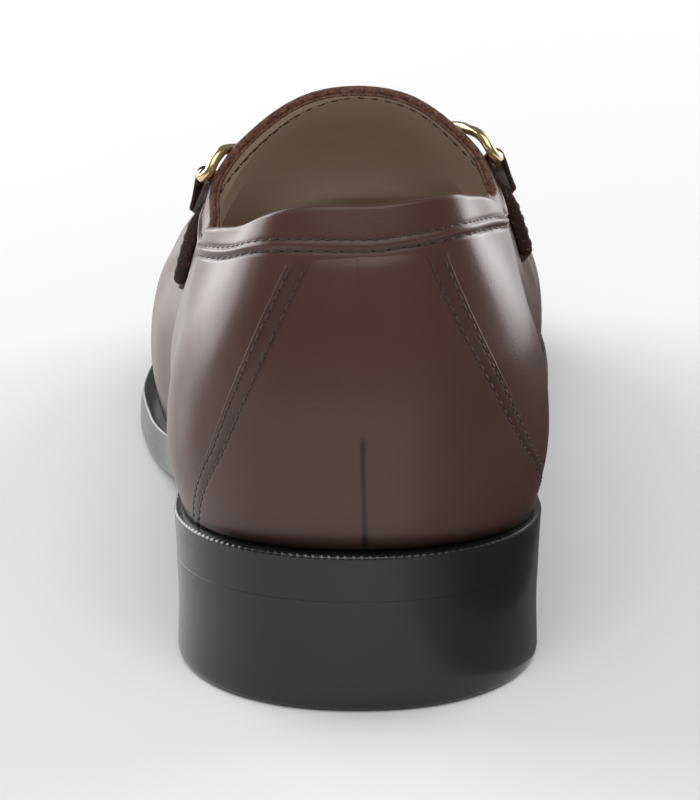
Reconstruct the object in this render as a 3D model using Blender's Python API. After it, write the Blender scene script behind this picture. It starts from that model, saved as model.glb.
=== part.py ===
"""Buckle loafer, the left shoe of a pair: a hollow upper on a welted sole with a block heel.

The shoe is drawn in millimetres: y runs from the back of the heel to the toe, z is up from the
floor, and x points to the wearer's right, which is the inner side of this left shoe. A station u
goes once along the shoe: 0 to 1 round the heel, 1 to 2 along the side, 2 to 3 round the toe.
"""
import math
from collections import namedtuple

import bmesh
import bpy
from mathutils import Vector

NAME = "buckle_loafer"
MM = 0.001
LATERAL = -1
MEDIAL = 1

# Sizes of the sole, in mm
SOLE_LENGTH = 266.0
HEEL_CENTRE = 36.0
TOE_CENTRE = 188.0
HEEL_SEAT_BACK = 20.0
HEEL_SEAT_BREAST = 16.8
HEEL_BREAST = 60.0
FLAT_START = 150.0
FLAT_END = 196.0
TOE_SPRING = 9.0
OUTSOLE_THICKNESS = 5.5
WELT_THICKNESS = 2.5
WELT_REACH = 9.0
INSOLE_THICKNESS = 3.0
INSOLE_INSET = 3.0
GAP = 0.3

# Sizes of the upper, in mm
UPPER_HEEL_END = 0.9
UPPER_TOE_END = 262.8
WALL = 2.0
GIRTH_SHARE = 0.2
THROAT = 122.0
THROAT_CURVE_START = 96.0
THROAT_CURVE_POWER = 4.0
COLLAR_STEP = 0.35
SEAM_LIFT = 0.7
SEAM_HALF = 0.016
APRON_LINE = 0.68
COUNTER_THICKNESS = 0.8
COUNTER_FOOT = 0.012
COUNTER_CLEARANCE = 0.02

# Sizes of the straps and the gilt hardware, in mm
STRAP_WIDTH = 15.0
STRAP_THICKNESS = 1.1
TAB_THICKNESS = 2.4
STRAP_RETURN = 7.0
BAR_RADIUS = 1.0
BEAD_RADIUS = 1.4
ARM_RADIUS = 1.0
BEAD_LENGTH = 1.8
RING_REACH = 13.0
RING_LEAN = 11.0
BIT_LIFT = 1.9
BIT_RADIUS = 1.2
BIT_KNOB_RADIUS = 1.5

Outline = namedtuple("Outline", "y half centre")
Section = namedtuple(
    "Section",
    "y half centre tuck_lateral tuck_medial girth spine skew full_lateral full_medial",
)
Height = namedtuple("Height", "y z")
Topline = namedtuple("Topline", "y lateral medial seam_lateral seam_medial")
Hollow = namedtuple("Hollow", "y lateral medial")
Counter = namedtuple("Counter", "lateral medial")
Strap = namedtuple("Strap", "name side foot loop ahead lift")

# Outline of the outsole: half width, and how far its middle lies to the inner side
SOLE = (
    Outline(36, 32.9, -0.5),
    Outline(62, 32.2, -1.2),
    Outline(92, 31.4, -3.2),
    Outline(122, 35.0, -4.0),
    Outline(150, 40.75, -4.25),
    Outline(170, 43.4, -4.0),
    Outline(188, 43.9, -2.7),
    Outline(228, 43.9, 0.3),
    Outline(266, 43.9, 3.0),
)

# Sections of the upper: its widest line, how far it tucks in under that line on each side, the
# height of the line above the welt, the place and the backward lean of the instep ridge, and the
# power of the curve from the widest line up to the ridge on each side
UPPER = (
    Section(36, 34.0, -0.5, 2.9, 2.8, 15.0, -0.5, 0.0, 1.8, 1.8),
    Section(62, 34.2, -1.0, 3.2, 3.8, 16.0, -0.5, 3.0, 1.55, 1.68),
    Section(92, 34.5, -2.0, 3.6, 6.0, 16.0, -0.5, 7.0, 1.55, 1.68),
    Section(122, 36.0, -0.6, 2.2, 4.6, 14.0, -0.3, 8.0, 2.1, 2.15),
    Section(150, 39.8, -3.2, 1.8, 2.2, 11.5, -0.6, 6.0, 2.15, 2.15),
    Section(170, 41.7, -3.1, 1.2, 1.2, 10.0, -0.3, 3.0, 2.25, 2.25),
    Section(188, 41.75, -2.15, 1.0, 1.0, 9.0, 0.2, 0.0, 2.35, 2.35),
    Section(228, 41.75, 0.4, 1.0, 1.0, 8.5, 0.2, 0.0, 2.35, 2.35),
    Section(263, 41.75, 2.9, 1.0, 1.0, 8.0, 0.2, 0.0, 2.35, 2.35),
)

# Height of the instep ridge; behind the throat it goes on as the cone that the collar is cut from
RIDGE = (
    Height(0, 113.0),
    Height(36, 112.0),
    Height(62, 103.0),
    Height(92, 93.0),
    Height(114, 85.8),
    Height(122, 82.0),
    Height(150, 69.0),
    Height(170, 60.3),
    Height(188, 53.6),
    Height(212, 46.5),
    Height(238, 41.5),
    Height(263, 36.0),
)

# Height of the collar's edge on the two sides and of the seam under the collar, by the y of the
# widest line under it
TOPLINE = (
    Topline(0, 87.7, 87.7, 80.8, 80.8),
    Topline(4, 87.1, 88.3, 80.4, 80.7),
    Topline(8, 85.3, 88.4, 79.8, 80.3),
    Topline(14, 83.1, 88.0, 78.7, 79.6),
    Topline(22, 80.9, 86.3, 76.9, 78.4),
    Topline(36, 77.7, 83.5, 72.8, 76.9),
    Topline(62, 71.2, 77.0, 65.5, 71.0),
    Topline(86, 64.4, 71.5, 59.0, 66.0),
    Topline(104, 60.5, 67.0, 55.2, 61.7),
    Topline(122, 59.5, 65.5, 54.2, 60.2),
)

# How far the sides of the vamp fall in about the straps
HOLLOWS = (
    Hollow(106, 0.0, 0.0),
    Hollow(114, 0.1, 0.5),
    Hollow(123, 1.2, 1.6),
    Hollow(129, 2.1, 2.4),
    Hollow(138, 2.6, 3.0),
    Hollow(146, 2.5, 2.8),
    Hollow(172, 0.0, 0.0),
)

# Stations where the counter's slanted edges leave the collar seam and reach the welt, and the
# power that bows them
COUNTER_TOP = Counter(0.23, 0.33)
COUNTER_BOTTOM = Counter(0.70, 0.92)
COUNTER_BOW = 0.72

# Heights of each strap's sewn end and of its turn round the ring, how far its rear edge lies ahead
# of the throat, and how far its ring stands off the vamp
STRAPS = (
    Strap("lateral", LATERAL, 44.8, 66.6, -8.0, 1.9),
    Strap("medial", MEDIAL, 50.7, 70.6, -8.0, 2.2),
)


def curve_through(rows, name, y):
    """Value of one column of a table at y, on a smooth curve that never overshoots its rows."""
    ys = [row.y for row in rows]
    vs = [getattr(row, name) for row in rows]
    if y <= ys[0]:
        return vs[0]
    if y >= ys[-1]:
        return vs[-1]
    steps = [(v1 - v0) / (y1 - y0) for v0, v1, y0, y1 in zip(vs, vs[1:], ys, ys[1:])]
    slopes = [steps[0]]
    for before, after in zip(steps, steps[1:]):
        same_way = before * after > 0
        slopes.append(2 * before * after / (before + after) if same_way else 0.0)
    slopes.append(steps[-1])
    i = max(k for k, row_y in enumerate(ys) if row_y <= y)
    h = ys[i + 1] - ys[i]
    t = (y - ys[i]) / h
    rise = t * t * (3 - 2 * t)
    start = slopes[i] * h * t * (1 - t) ** 2
    end = slopes[i + 1] * h * t * t * (1 - t)
    return vs[i] + (vs[i + 1] - vs[i]) * rise + start - end


def smooth(t):
    t = min(max(t, 0.0), 1.0)
    return t * t * (3 - 2 * t)


def side_station(y):
    return 1 + (y - HEEL_CENTRE) / (TOE_CENTRE - HEEL_CENTRE)


def plan_point(rows, ends, u, side, inset=0.0):
    """Point of a plan outline at station u, moved inwards by inset."""
    heel_end, toe_end = ends
    if u <= 1:
        power = 2 / 2.15
        angle = u * math.pi / 2
        across = math.sin(angle) ** power
        y = HEEL_CENTRE - (HEEL_CENTRE - heel_end - inset) * math.cos(angle) ** power
    elif u <= 2:
        across = 1.0
        y = HEEL_CENTRE + (u - 1) * (TOE_CENTRE - HEEL_CENTRE)
    else:
        power = 2 / 2.2
        angle = (3 - u) * math.pi / 2
        across = max(math.sin(angle), 0.0) ** power
        y = TOE_CENTRE + (toe_end - inset - TOE_CENTRE) * max(math.cos(angle), 0.0) ** power
    half = curve_through(rows, "half", y) - inset
    return Vector((curve_through(rows, "centre", y) + side * half * across, y))


def sole_underside(y):
    """Height of the outsole's underside: heel seat, arch, flat tread and toe spring."""
    slope = (HEEL_SEAT_BREAST - HEEL_SEAT_BACK) / HEEL_BREAST
    if y <= HEEL_BREAST:
        return HEEL_SEAT_BACK + slope * y
    if y < FLAT_START:
        span = FLAT_START - HEEL_BREAST
        t = (y - HEEL_BREAST) / span
        return HEEL_SEAT_BREAST * (1 - smooth(t)) + slope * span * t * (1 - t) ** 2
    if y <= FLAT_END:
        return 0.0
    return TOE_SPRING * ((y - FLAT_END) / (SOLE_LENGTH - FLAT_END)) ** 2


def welt_top(y):
    return sole_underside(y) + OUTSOLE_THICKNESS + GAP + WELT_THICKNESS


def sole_point(u, side, inset=0.0):
    return plan_point(SOLE, (0.0, SOLE_LENGTH), u, side, inset)


def girth_point(u, side, inset=0.0):
    return plan_point(UPPER, (UPPER_HEEL_END, UPPER_TOE_END), u, side, inset)


def spine_point(u):
    """Plan point of the ridge that the rib at station u climbs to."""
    y = min(max(HEEL_CENTRE + (u - 1) * (TOE_CENTRE - HEEL_CENTRE), HEEL_CENTRE), TOE_CENTRE)
    return Vector((curve_through(UPPER, "spine", y), y - curve_through(UPPER, "skew", y)))


def tuck_at(y, u, side):
    """How far the upper tucks in at the welt; both sides share one value at the heel's back."""
    lateral = curve_through(UPPER, "tuck_lateral", y)
    medial = curve_through(UPPER, "tuck_medial", y)
    middle = (lateral + medial) / 2
    own = lateral if side == LATERAL else medial
    return middle + (own - middle) * smooth(u)


def hollow(y, side, w):
    """How far the sides of the vamp fall in, between the welt and the ridge."""
    depth = curve_through(HOLLOWS, "lateral" if side == LATERAL else "medial", y)
    return depth * smooth((w - 0.24) / 0.16) * smooth((0.9 - w) / 0.2)


def form_point(u, side, w):
    """Point of the upper's outer form: w is 0 at the welt and 1 on the instep ridge."""
    foot = girth_point(u, side)
    spine = spine_point(u)
    arm = foot - spine
    reach = arm.length
    girth = curve_through(UPPER, "girth", foot.y)
    if w <= GIRTH_SHARE:
        t = w / GIRTH_SHARE
        distance = reach - tuck_at(foot.y, u, side) * (1 - t) ** 2
        plan = spine + arm * (distance / reach)
        return Vector((plan.x, plan.y, welt_top(plan.y) + GAP + girth * t))
    angle = (w - GIRTH_SHARE) / (1 - GIRTH_SHARE) * math.pi / 2
    power = 2 / curve_through(UPPER, "full_lateral" if side == LATERAL else "full_medial", foot.y)
    share = max(math.cos(angle), 0.0) ** power - hollow(foot.y, side, w) / reach
    plan = spine + arm * share
    low = welt_top(foot.y) + GAP + girth
    high = curve_through(RIDGE, "z", plan.y)
    return Vector((plan.x, plan.y, low + (high - low) * math.sin(angle) ** power))


def form_normal(u, side, w):
    """Outward normal of the form; on the ridge the two sides share one."""
    step = 0.004
    if w > 0.985:
        u = min(u, 2.0)
        return (one_normal(u, LATERAL, 0.98) + one_normal(u, MEDIAL, 0.98)).normalized()
    if u < step:
        return (one_normal(step, LATERAL, w) + one_normal(step, MEDIAL, w)).normalized()
    return one_normal(min(max(u, step), 3 - step), side, min(max(w, step), 1 - step))


def one_normal(u, side, w):
    step = 0.004
    along = form_point(u + step, side, w) - form_point(u - step, side, w)
    up = form_point(u, side, w + step) - form_point(u, side, w - step)
    return (up.cross(along) if side == LATERAL else along.cross(up)).normalized()


def form_lifted(u, side, w, lift):
    return form_point(u, side, w) + form_normal(u, side, w) * lift


def form_at(u, side, height):
    """The w where the rib at station u passes a height."""
    low, high = 0.0, 1.0
    for _ in range(30):
        middle = (low + high) / 2
        if form_point(u, side, middle).z < height:
            low = middle
        else:
            high = middle
    return (low + high) / 2


def edge_and_seam(u, side):
    """The w of the upper's top edge and of its raised seam at a station.

    Behind the throat they are the collar's edge and the seam under the collar; in front of it they
    are the ridge and the apron seam.
    """
    y = girth_point(u, side).y
    if y >= THROAT:
        return 1.0, APRON_LINE
    name = "lateral" if side == LATERAL else "medial"
    edge = form_at(u, side, curve_through(TOPLINE, name, y))
    seam = form_at(u, side, curve_through(TOPLINE, "seam_" + name, y))
    t = max((y - THROAT_CURVE_START) / (THROAT - THROAT_CURVE_START), 0.0)
    return edge + (1 - edge) * t ** THROAT_CURVE_POWER, seam + (APRON_LINE - seam) * smooth(t)


def rib_rows(u, side):
    """Rows of one rib, from the welt to the top edge: w and the lift of the raised seam."""
    edge, seam = edge_and_seam(u, side)
    foot = seam - SEAM_HALF
    head = seam + SEAM_HALF
    rows = [(foot * share, 0.0) for share in (0.0, 0.1, 0.2, 0.32, 0.45, 0.6, 0.75, 0.88, 1.0)]
    rows.append((seam, SEAM_LIFT))
    rows.append((head, COLLAR_STEP))
    rows += [(head + (edge - head) * share, COLLAR_STEP) for share in (0.2, 0.4, 0.6, 0.8, 1.0)]
    return rows


def to_frame(point):
    """From the drawing's millimetres to metres about the middle of the footprint."""
    return (point - Vector((FRAME_X, SOLE_LENGTH / 2, 0.0))) * MM


def sole_middle_x():
    stations = [1 + k / 100 for k in range(201)]
    left = min(sole_point(u, LATERAL).x for u in stations)
    right = max(sole_point(u, MEDIAL).x for u in stations)
    return (left + right) / 2


FRAME_X = sole_middle_x()


def add_object(name, points, faces, material):
    """Mesh object from drawn points and faces, its faces turned outwards and shaded smooth."""
    mesh = bpy.data.meshes.new(name)
    mesh.from_pydata([to_frame(p) for p in points], [], faces)
    work = bmesh.new()
    work.from_mesh(mesh)
    bmesh.ops.recalc_face_normals(work, faces=work.faces)
    work.to_mesh(mesh)
    work.free()
    mesh.shade_smooth()
    mesh.set_sharp_from_angle(angle=math.radians(40))
    return link(bpy.data.objects.new(name, mesh), material)


def link(item, material):
    item.data.materials.append(material)
    item.parent = root
    parts.objects.link(item)
    return item


def new_material(name, colour, roughness, metallic=0.0):
    material = bpy.data.materials.new(name)
    material.use_nodes = True
    shader = material.node_tree.nodes["Principled BSDF"]
    shader.inputs["Base Color"].default_value = (*colour, 1.0)
    shader.inputs["Roughness"].default_value = roughness
    shader.inputs["Metallic"].default_value = metallic
    return material


def add_plate(name, stations, levels, material):
    """Plate whose rim is lofted through levels and whose ends are ladders from side to side.

    A level is a function of station and side that gives a point of the rim.
    """
    count = len(stations)
    points = []
    for level in levels:
        points += [level(u, LATERAL) for u in stations]
        points += [level(u, MEDIAL) for u in reversed(stations)]
    ring = 2 * count
    faces = []
    for low in range(len(levels) - 1):
        for k in range(ring):
            a = low * ring + k
            b = low * ring + (k + 1) % ring
            faces.append((a, b, b + ring, a + ring))
    for start in (0, (len(levels) - 1) * ring):
        for k in range(count - 1):
            faces.append((start + k, start + k + 1, start + ring - 2 - k, start + ring - 1 - k))
    return add_object(name, points, faces, material)


def add_ring(name, stations, corners, material):
    """Closed strip round the shoe with the section given by corner functions."""
    walk = [(u, LATERAL) for u in stations] + [(u, MEDIAL) for u in reversed(stations)]
    points = [corner(u, side) for u, side in walk for corner in corners]
    width = len(corners)
    faces = []
    for k in range(len(walk)):
        following = (k + 1) % len(walk)
        for c in range(width):
            d = (c + 1) % width
            faces.append((k * width + c, k * width + d, following * width + d, following * width + c))
    return add_object(name, points, faces, material)


def add_sheet(name, grid_low, grid_high, material):
    """Solid between two grids of points of the same size."""
    rows, columns = len(grid_low), len(grid_low[0])
    points = [p for grid in (grid_low, grid_high) for row in grid for p in row]
    shift = rows * columns
    faces = []
    for r in range(rows - 1):
        for c in range(columns - 1):
            a = r * columns + c
            quad = (a, a + 1, a + columns + 1, a + columns)
            faces.append(quad)
            faces.append(tuple(i + shift for i in quad))
    rim = [(0, c) for c in range(columns)]
    rim += [(r, columns - 1) for r in range(1, rows)]
    rim += [(rows - 1, c) for c in range(columns - 2, -1, -1)]
    rim += [(r, 0) for r in range(rows - 2, 0, -1)]
    for (r0, c0), (r1, c1) in zip(rim, rim[1:] + rim[:1]):
        a = r0 * columns + c0
        b = r1 * columns + c1
        faces.append((a, b, b + shift, a + shift))
    return add_object(name, points, faces, material)


def add_tube(name, path, radii, closed, material):
    """Round wire through drawn points, with its own radius at each."""
    data = bpy.data.curves.new(name, "CURVE")
    data.dimensions = "3D"
    data.bevel_depth = MM
    data.bevel_resolution = 2
    data.use_fill_caps = True
    spline = data.splines.new("POLY")
    spline.points.add(len(path) - 1)
    for point, place, radius in zip(spline.points, path, radii):
        point.co = (*to_frame(place), 1.0)
        point.radius = radius
    spline.use_cyclic_u = closed
    spline.use_smooth = True
    return link(bpy.data.objects.new(name, data), material)


def rim_stations():
    heel = [0.05 + 0.135 * k for k in range(7)]
    side = [1 + k / 20 for k in range(21)]
    toe = [2.1 + 0.095 * k for k in range(9)] + [2.945]
    return heel + side + toe


def rim_level(inset, height):
    """Rim of the sole at an inset, at a height above the outsole's underside."""
    def place(u, side):
        p = sole_point(u, side, inset)
        return Vector((p.x, p.y, sole_underside(p.y) + height))
    return place


def make_outsole(material):
    top = OUTSOLE_THICKNESS
    levels = [rim_level(1.2, 0.0), rim_level(0.3, 0.8), rim_level(0.0, 2.4), rim_level(0.2, top)]
    add_plate("outsole", rim_stations(), levels, material)


def make_welt(material):
    base = OUTSOLE_THICKNESS + GAP
    top = base + WELT_THICKNESS

    def inner(height):
        def place(u, side):
            p = girth_point(u, side, tuck_at(girth_point(u, side).y, u, side) + WELT_REACH)
            return Vector((p.x, p.y, sole_underside(p.y) + height))
        return place

    corners = [inner(base), rim_level(0.4, base), rim_level(0.0, base + 0.5)]
    corners += [rim_level(0.0, top - 0.5), rim_level(0.5, top), inner(top)]
    add_ring("welt", rim_stations(), corners, material)


def make_heel(material):
    stations = [u for u in rim_stations() if u < 1] + [1.0, 1.05, 1.1, side_station(HEEL_BREAST)]

    def flat(inset, height):
        def place(u, side):
            p = sole_point(u, side, inset)
            return Vector((p.x, p.y, height))
        return place

    levels = [flat(0.9, 0.0), flat(0.4, 0.7), flat(0.9, 10.0), rim_level(0.6, -GAP)]
    add_plate("heel", stations, levels, material)


def make_insole(material):
    base = OUTSOLE_THICKNESS + WELT_THICKNESS + 2 * GAP

    def level(inset, height):
        def place(u, side):
            p = girth_point(u, side, tuck_at(girth_point(u, side).y, u, side) + inset)
            return Vector((p.x, p.y, sole_underside(p.y) + height))
        return place

    levels = [level(INSOLE_INSET + 0.4, base), level(INSOLE_INSET, base + 0.6)]
    levels += [level(INSOLE_INSET, base + INSOLE_THICKNESS)]
    add_plate("insole", rim_stations(), levels, material)


def upper_stations():
    heel = [0.055 + 0.1275 * k for k in range(8)]
    quarter = [36, 46, 56, 66, 76, 86, 95, 103, 109, 113.5, 117, 119.5, 121.2]
    vamp = [THROAT, 127, 133, 140, 148, 156, 164, 172, 180]
    side = [side_station(y) for y in quarter + vamp]
    toe = [2 + 0.105 * k for k in range(9)] + [2.93]
    return heel + side + toe


def make_upper(material):
    """Hollow shell: an outer skin with raised seams, a plain inner skin and the edges between."""
    stations = upper_stations()
    throat = stations.index(side_station(THROAT))
    toe = stations.index(2.0)
    sides = (LATERAL, MEDIAL)
    ribs = {(k, side): rib_rows(u, side) for k, u in enumerate(stations) for side in sides}
    last = len(ribs[0, LATERAL]) - 1
    points = []
    index = {}

    def vertex(skin, k, side, row):
        if row == last and k >= throat:
            side = LATERAL
            k = min(k, toe)
        key = (skin, k, side, row)
        if key not in index:
            w, lift = ribs[k, side][row]
            index[key] = len(points)
            points.append(form_lifted(stations[k], side, w, lift if skin == "outer" else -WALL))
        return index[key]

    faces = []

    def add_face(corners):
        kept = [c for i, c in enumerate(corners) if c != corners[i - 1]]
        if len(kept) > 2:
            faces.append(kept)

    walk = [(k, LATERAL) for k in range(len(stations))]
    walk += [(k, MEDIAL) for k in reversed(range(len(stations)))]
    for here, there in zip(walk, walk[1:] + walk[:1]):
        for skin in ("outer", "inner"):
            for row in range(last):
                low = [vertex(skin, *here, row), vertex(skin, *there, row)]
                high = [vertex(skin, *there, row + 1), vertex(skin, *here, row + 1)]
                add_face(low + high)
        edges = [0]
        if max(here[0], there[0]) <= throat:
            edges.append(last)
        for row in edges:
            outside = [vertex("outer", *here, row), vertex("outer", *there, row)]
            inside = [vertex("inner", *there, row), vertex("inner", *here, row)]
            add_face(outside + inside)
    add_object("upper", points, faces, material)


def make_counter(material):
    """Panel over the heel, cut from the upper's form between the welt and the collar seam."""
    columns = [-1 + k / 11 for k in range(23)]
    shares = [k / 7 for k in range(8)]

    def grid(lift):
        rows = []
        for share in shares:
            bow = share ** COUNTER_BOW
            lateral = COUNTER_BOTTOM.lateral + (COUNTER_TOP.lateral - COUNTER_BOTTOM.lateral) * bow
            medial = COUNTER_BOTTOM.medial + (COUNTER_TOP.medial - COUNTER_BOTTOM.medial) * bow
            row = []
            for column in columns:
                side = LATERAL if column < 0 else MEDIAL
                u = abs(column) * (lateral if column < 0 else medial)
                top = edge_and_seam(u, side)[1] - COUNTER_CLEARANCE
                row.append(form_lifted(u, side, COUNTER_FOOT + (top - COUNTER_FOOT) * share, lift))
            rows.append(row)
        return rows

    add_sheet("heel_counter", grid(GAP), grid(GAP + COUNTER_THICKNESS), material)


def bar_lift():
    return 2 * GAP + STRAP_THICKNESS + BAR_RADIUS


def turn_line(strap):
    """The w of the strap's turn, set by its height at the strap's rear edge."""
    return form_at(side_station(THROAT + strap.ahead), strap.side, strap.loop)


def loop_place(strap, y, climb, lift):
    """Point by its y on the shoe's side, its climb past the strap's turn and its lift."""
    u = side_station(y)
    w = turn_line(strap)
    step = 0.01
    pace = (form_point(u, strap.side, w + step) - form_point(u, strap.side, w - step)).length
    return form_lifted(u, strap.side, w + climb * 2 * step / pace, lift)


def strap_outline(length):
    """Both faces of the strap in climb and lift: up the vamp, round the bar and back outside."""
    turn = BAR_RADIUS + GAP
    centre = bar_lift()
    tab = GAP + TAB_THICKNESS
    thin = GAP + STRAP_THICKNESS
    inner = [(-length * share, GAP) for share in (1.0, 0.8, 0.6, 0.4, 0.2)]
    outer = [(-length * share, tab) for share in (1.0, 0.8, 0.6)]
    outer += [(-length * 0.4, tab), (-length * 0.2, (tab + thin) / 2)]
    for k in range(9):
        angle = math.radians(-90 + 22.5 * k)
        ahead, above = math.cos(angle), math.sin(angle)
        wide = turn + STRAP_THICKNESS
        inner.append((wide * ahead, centre + wide * above))
        outer.append((turn * ahead, centre + turn * above))
    end = tab + GAP
    for share, retreat in ((0.85, 0.25), (0.45, 0.5), (0.1, 0.75), (0.0, 1.0)):
        height = end + (centre + turn - end) * share
        outer.append((-STRAP_RETURN * retreat, height))
        inner.append((-STRAP_RETURN * retreat, height + STRAP_THICKNESS))
    return inner, outer


def make_strap(strap, material):
    ys = [THROAT + strap.ahead + STRAP_WIDTH * k / 4 for k in range(5)]
    middle = side_station(ys[2])
    foot = form_point(middle, strap.side, form_at(middle, strap.side, strap.foot))
    turn = form_point(middle, strap.side, turn_line(strap))
    inner, outer = strap_outline((turn - foot).length)

    def grid(outline):
        return [[loop_place(strap, y, climb, lift) for climb, lift in outline] for y in ys]

    add_sheet("strap_" + strap.name, grid(inner), grid(outer), material)


def ring_path(strap):
    """Closed wire: a bar through the strap's turn with a bead at each end, and a round arm."""
    rear = THROAT + strap.ahead - GAP - BEAD_LENGTH
    front = THROAT + strap.ahead + STRAP_WIDTH + GAP + BEAD_LENGTH
    lift = bar_lift()
    steps = []
    for y, way in ((rear, 1), (front, -1)):
        end = [(0.0, ARM_RADIUS), (0.4, BEAD_RADIUS), (1.2, BEAD_RADIUS), (1.6, BAR_RADIUS)]
        steps.append([(y + way * shift, 0.0, lift, radius) for shift, radius in end])
    through = [THROAT + strap.ahead + STRAP_WIDTH * k / 4 for k in (1, 2, 3)]
    stages = steps[0] + [(y, 0.0, lift, BAR_RADIUS) for y in through] + steps[1][::-1]
    middle = (rear + front) / 2
    half = (front - rear) / 2 + 0.3
    for k in range(13):
        angle = math.radians(8 + 164 * k / 12)
        rise = math.sin(angle)
        height = lift + (strap.lift - lift) * rise
        y = middle + half * math.cos(angle) + RING_LEAN * rise ** 2
        stages.append((y, RING_REACH * rise, height, ARM_RADIUS))
    path = [loop_place(strap, y, climb, height) for y, climb, height, _ in stages]
    return path, [radius for _, _, _, radius in stages]


def station_at(side, w, y):
    """The side station whose rib passes a plan y at w."""
    low, high = 1.0, 2.0
    for _ in range(30):
        middle = (low + high) / 2
        if form_point(middle, side, w).y < y:
            low = middle
        else:
            high = middle
    return (low + high) / 2


def make_bit(material):
    """The two rings and the bar that links them straight over the instep."""
    starts = []
    for strap in STRAPS:
        ring, radii = ring_path(strap)
        add_tube("bit_ring_" + strap.name, ring, radii, True, material)
        u = side_station(THROAT + strap.ahead + STRAP_WIDTH / 2 + RING_LEAN)
        w = turn_line(strap)
        pace = (form_point(u, strap.side, w + 0.1) - form_point(u, strap.side, w)).length / 0.1
        start = w + (RING_REACH + ARM_RADIUS + GAP) / pace
        starts.append((start, form_point(u, strap.side, start).y))
    middle = sum(y for _, y in starts) / 2
    path = []
    for strap, (start, y) in zip(STRAPS, starts):
        half = []
        for k in range(9):
            w = start + (1 - start) * k / 8
            u = station_at(strap.side, w, y + (middle - y) * k / 8)
            half.append(form_lifted(u, strap.side, w, BIT_LIFT))
        path += half if strap.side == LATERAL else half[-2::-1]
    last = len(path) - 1
    radii = [BIT_KNOB_RADIUS if min(k, last - k) < 2 else BIT_RADIUS for k in range(last + 1)]
    add_tube("bit_bar", path, radii, False, material)


for item in list(bpy.data.objects):
    bpy.data.objects.remove(item)
parts = bpy.data.collections.new(NAME)
bpy.context.scene.collection.children.link(parts)
root = bpy.data.objects.new(NAME + "_root", None)
parts.objects.link(root)

brown_leather = new_material("brown_leather", (0.068, 0.036, 0.031), 0.38)
taupe_leather = new_material("taupe_leather", (0.13, 0.085, 0.06), 0.6)
black_rubber = new_material("black_rubber", (0.02, 0.019, 0.021), 0.45)
gilt_metal = new_material("gilt_metal", (0.83, 0.62, 0.28), 0.2, 1.0)

make_outsole(black_rubber)
make_welt(black_rubber)
make_heel(black_rubber)
make_insole(taupe_leather)
make_upper(brown_leather)
make_counter(brown_leather)
for row in STRAPS:
    make_strap(row, brown_leather)
make_bit(gilt_metal)
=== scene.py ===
"""Looks of the buckle loafer: leather, stitching, straps, gilt bit, sole and a small studio.

The shoe is drawn in millimetres, as its solids are: y runs from the back of the heel to the toe, z is
up from the floor and x points to the inner side of this left shoe. A station u goes once along each
side, 0 to 1 round the heel, 1 to 2 along the side and 2 to 3 round the toe, and w climbs the upper
from the welt at 0 to the ridge of the instep at 1.
"""
import math
from collections import namedtuple

import bmesh
import bpy
import numpy as np
from mathutils import Euler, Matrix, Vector


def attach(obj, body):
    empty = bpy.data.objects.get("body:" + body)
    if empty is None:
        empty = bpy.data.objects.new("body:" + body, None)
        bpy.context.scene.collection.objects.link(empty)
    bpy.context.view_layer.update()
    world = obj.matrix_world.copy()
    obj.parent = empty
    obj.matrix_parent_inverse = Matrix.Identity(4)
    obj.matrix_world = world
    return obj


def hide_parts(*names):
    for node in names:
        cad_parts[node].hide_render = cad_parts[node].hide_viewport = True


bl_info = {
    "name": "Buckle loafer",
    "version": (1, 0, 0),
    "blender": (4, 5, 0),
    "location": "View3D > Sidebar > Loafer",
    "description": "Dresses a packed left loafer in leather, stitching, gilt metal and rubber",
    "category": "Object",
}

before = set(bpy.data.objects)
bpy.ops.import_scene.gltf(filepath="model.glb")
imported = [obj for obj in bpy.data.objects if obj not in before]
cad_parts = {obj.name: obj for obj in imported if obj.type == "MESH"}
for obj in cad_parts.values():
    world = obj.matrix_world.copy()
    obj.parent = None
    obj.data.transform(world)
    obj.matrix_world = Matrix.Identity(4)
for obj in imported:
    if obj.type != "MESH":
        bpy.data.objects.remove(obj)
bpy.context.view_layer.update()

MM = 0.001
LATERAL = -1
MEDIAL = 1
HALF_TURN = math.pi / 2

# Sizes of the sole, in mm
SOLE_LENGTH = 266.0
HEEL_CENTRE = 36.0
TOE_CENTRE = 188.0
HEEL_ROUND = 2 / 2.15
TOE_ROUND = 2 / 2.2
HEEL_SEAT_BACK = 20.0
HEEL_SEAT_BREAST = 16.8
HEEL_BREAST = 60.0
HEEL_CORNER = 1.5
FLAT_START = 150.0
FLAT_END = 196.0
TOE_SPRING = 9.0
OUTSOLE_THICKNESS = 5.5
WELT_THICKNESS = 2.5
WELT_REACH = 9.0
INSOLE_THICKNESS = 3.0
INSOLE_INSET = 3.0
GAP = 0.3

# Sizes of the upper: lengths in mm, and shares of the climb from the welt to the ridge
UPPER_ENDS = (0.9, 262.8)
WALL = 2.0
GIRTH_SHARE = 0.2
GIRTH_SOFTNESS = 0.12
THROAT = 122.0
THROAT_CURVE_START = 96.0
THROAT_CURVE_POWER = 4.0
THROAT_ROUNDING = 0.03
HOLLOW_FOOT = (0.24, 0.4)
HOLLOW_TOP = (0.7, 0.9)
LIP_BAND = 0.12
LIP_FADE = 6.0
NIP = {LATERAL: 2.2, MEDIAL: 2.3}
NIP_CLIMB = (0.28, 0.62)
NIP_HEEL = (4.0, 22.0)
NIP_THROAT = (62.0, 92.0)
WAVE_DEPTH = 0.22
WAVE_RADIANS_PER_STATION = 9.0
WAVE_PHASES = {LATERAL: 0.4, MEDIAL: 2.1}
COLLAR_ROLL = 1.0
APRON_LINE = 0.68
SEAM_CURVE = (106.0, 126.0)
SEAM_ZONE = 3.2
SEAM_LEAST = 0.4
STITCH_OFFSET = 0.98
COLLAR_ROWS_END = 116.0
COUNTER_CLEARANCE = 0.3
COUNTER_ROWS = (0.9, 3.5)
# Painted shade in each of the counter's two sewn grooves
COUNTER_ROW_PAINTED_SHADE = 0.3
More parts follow.
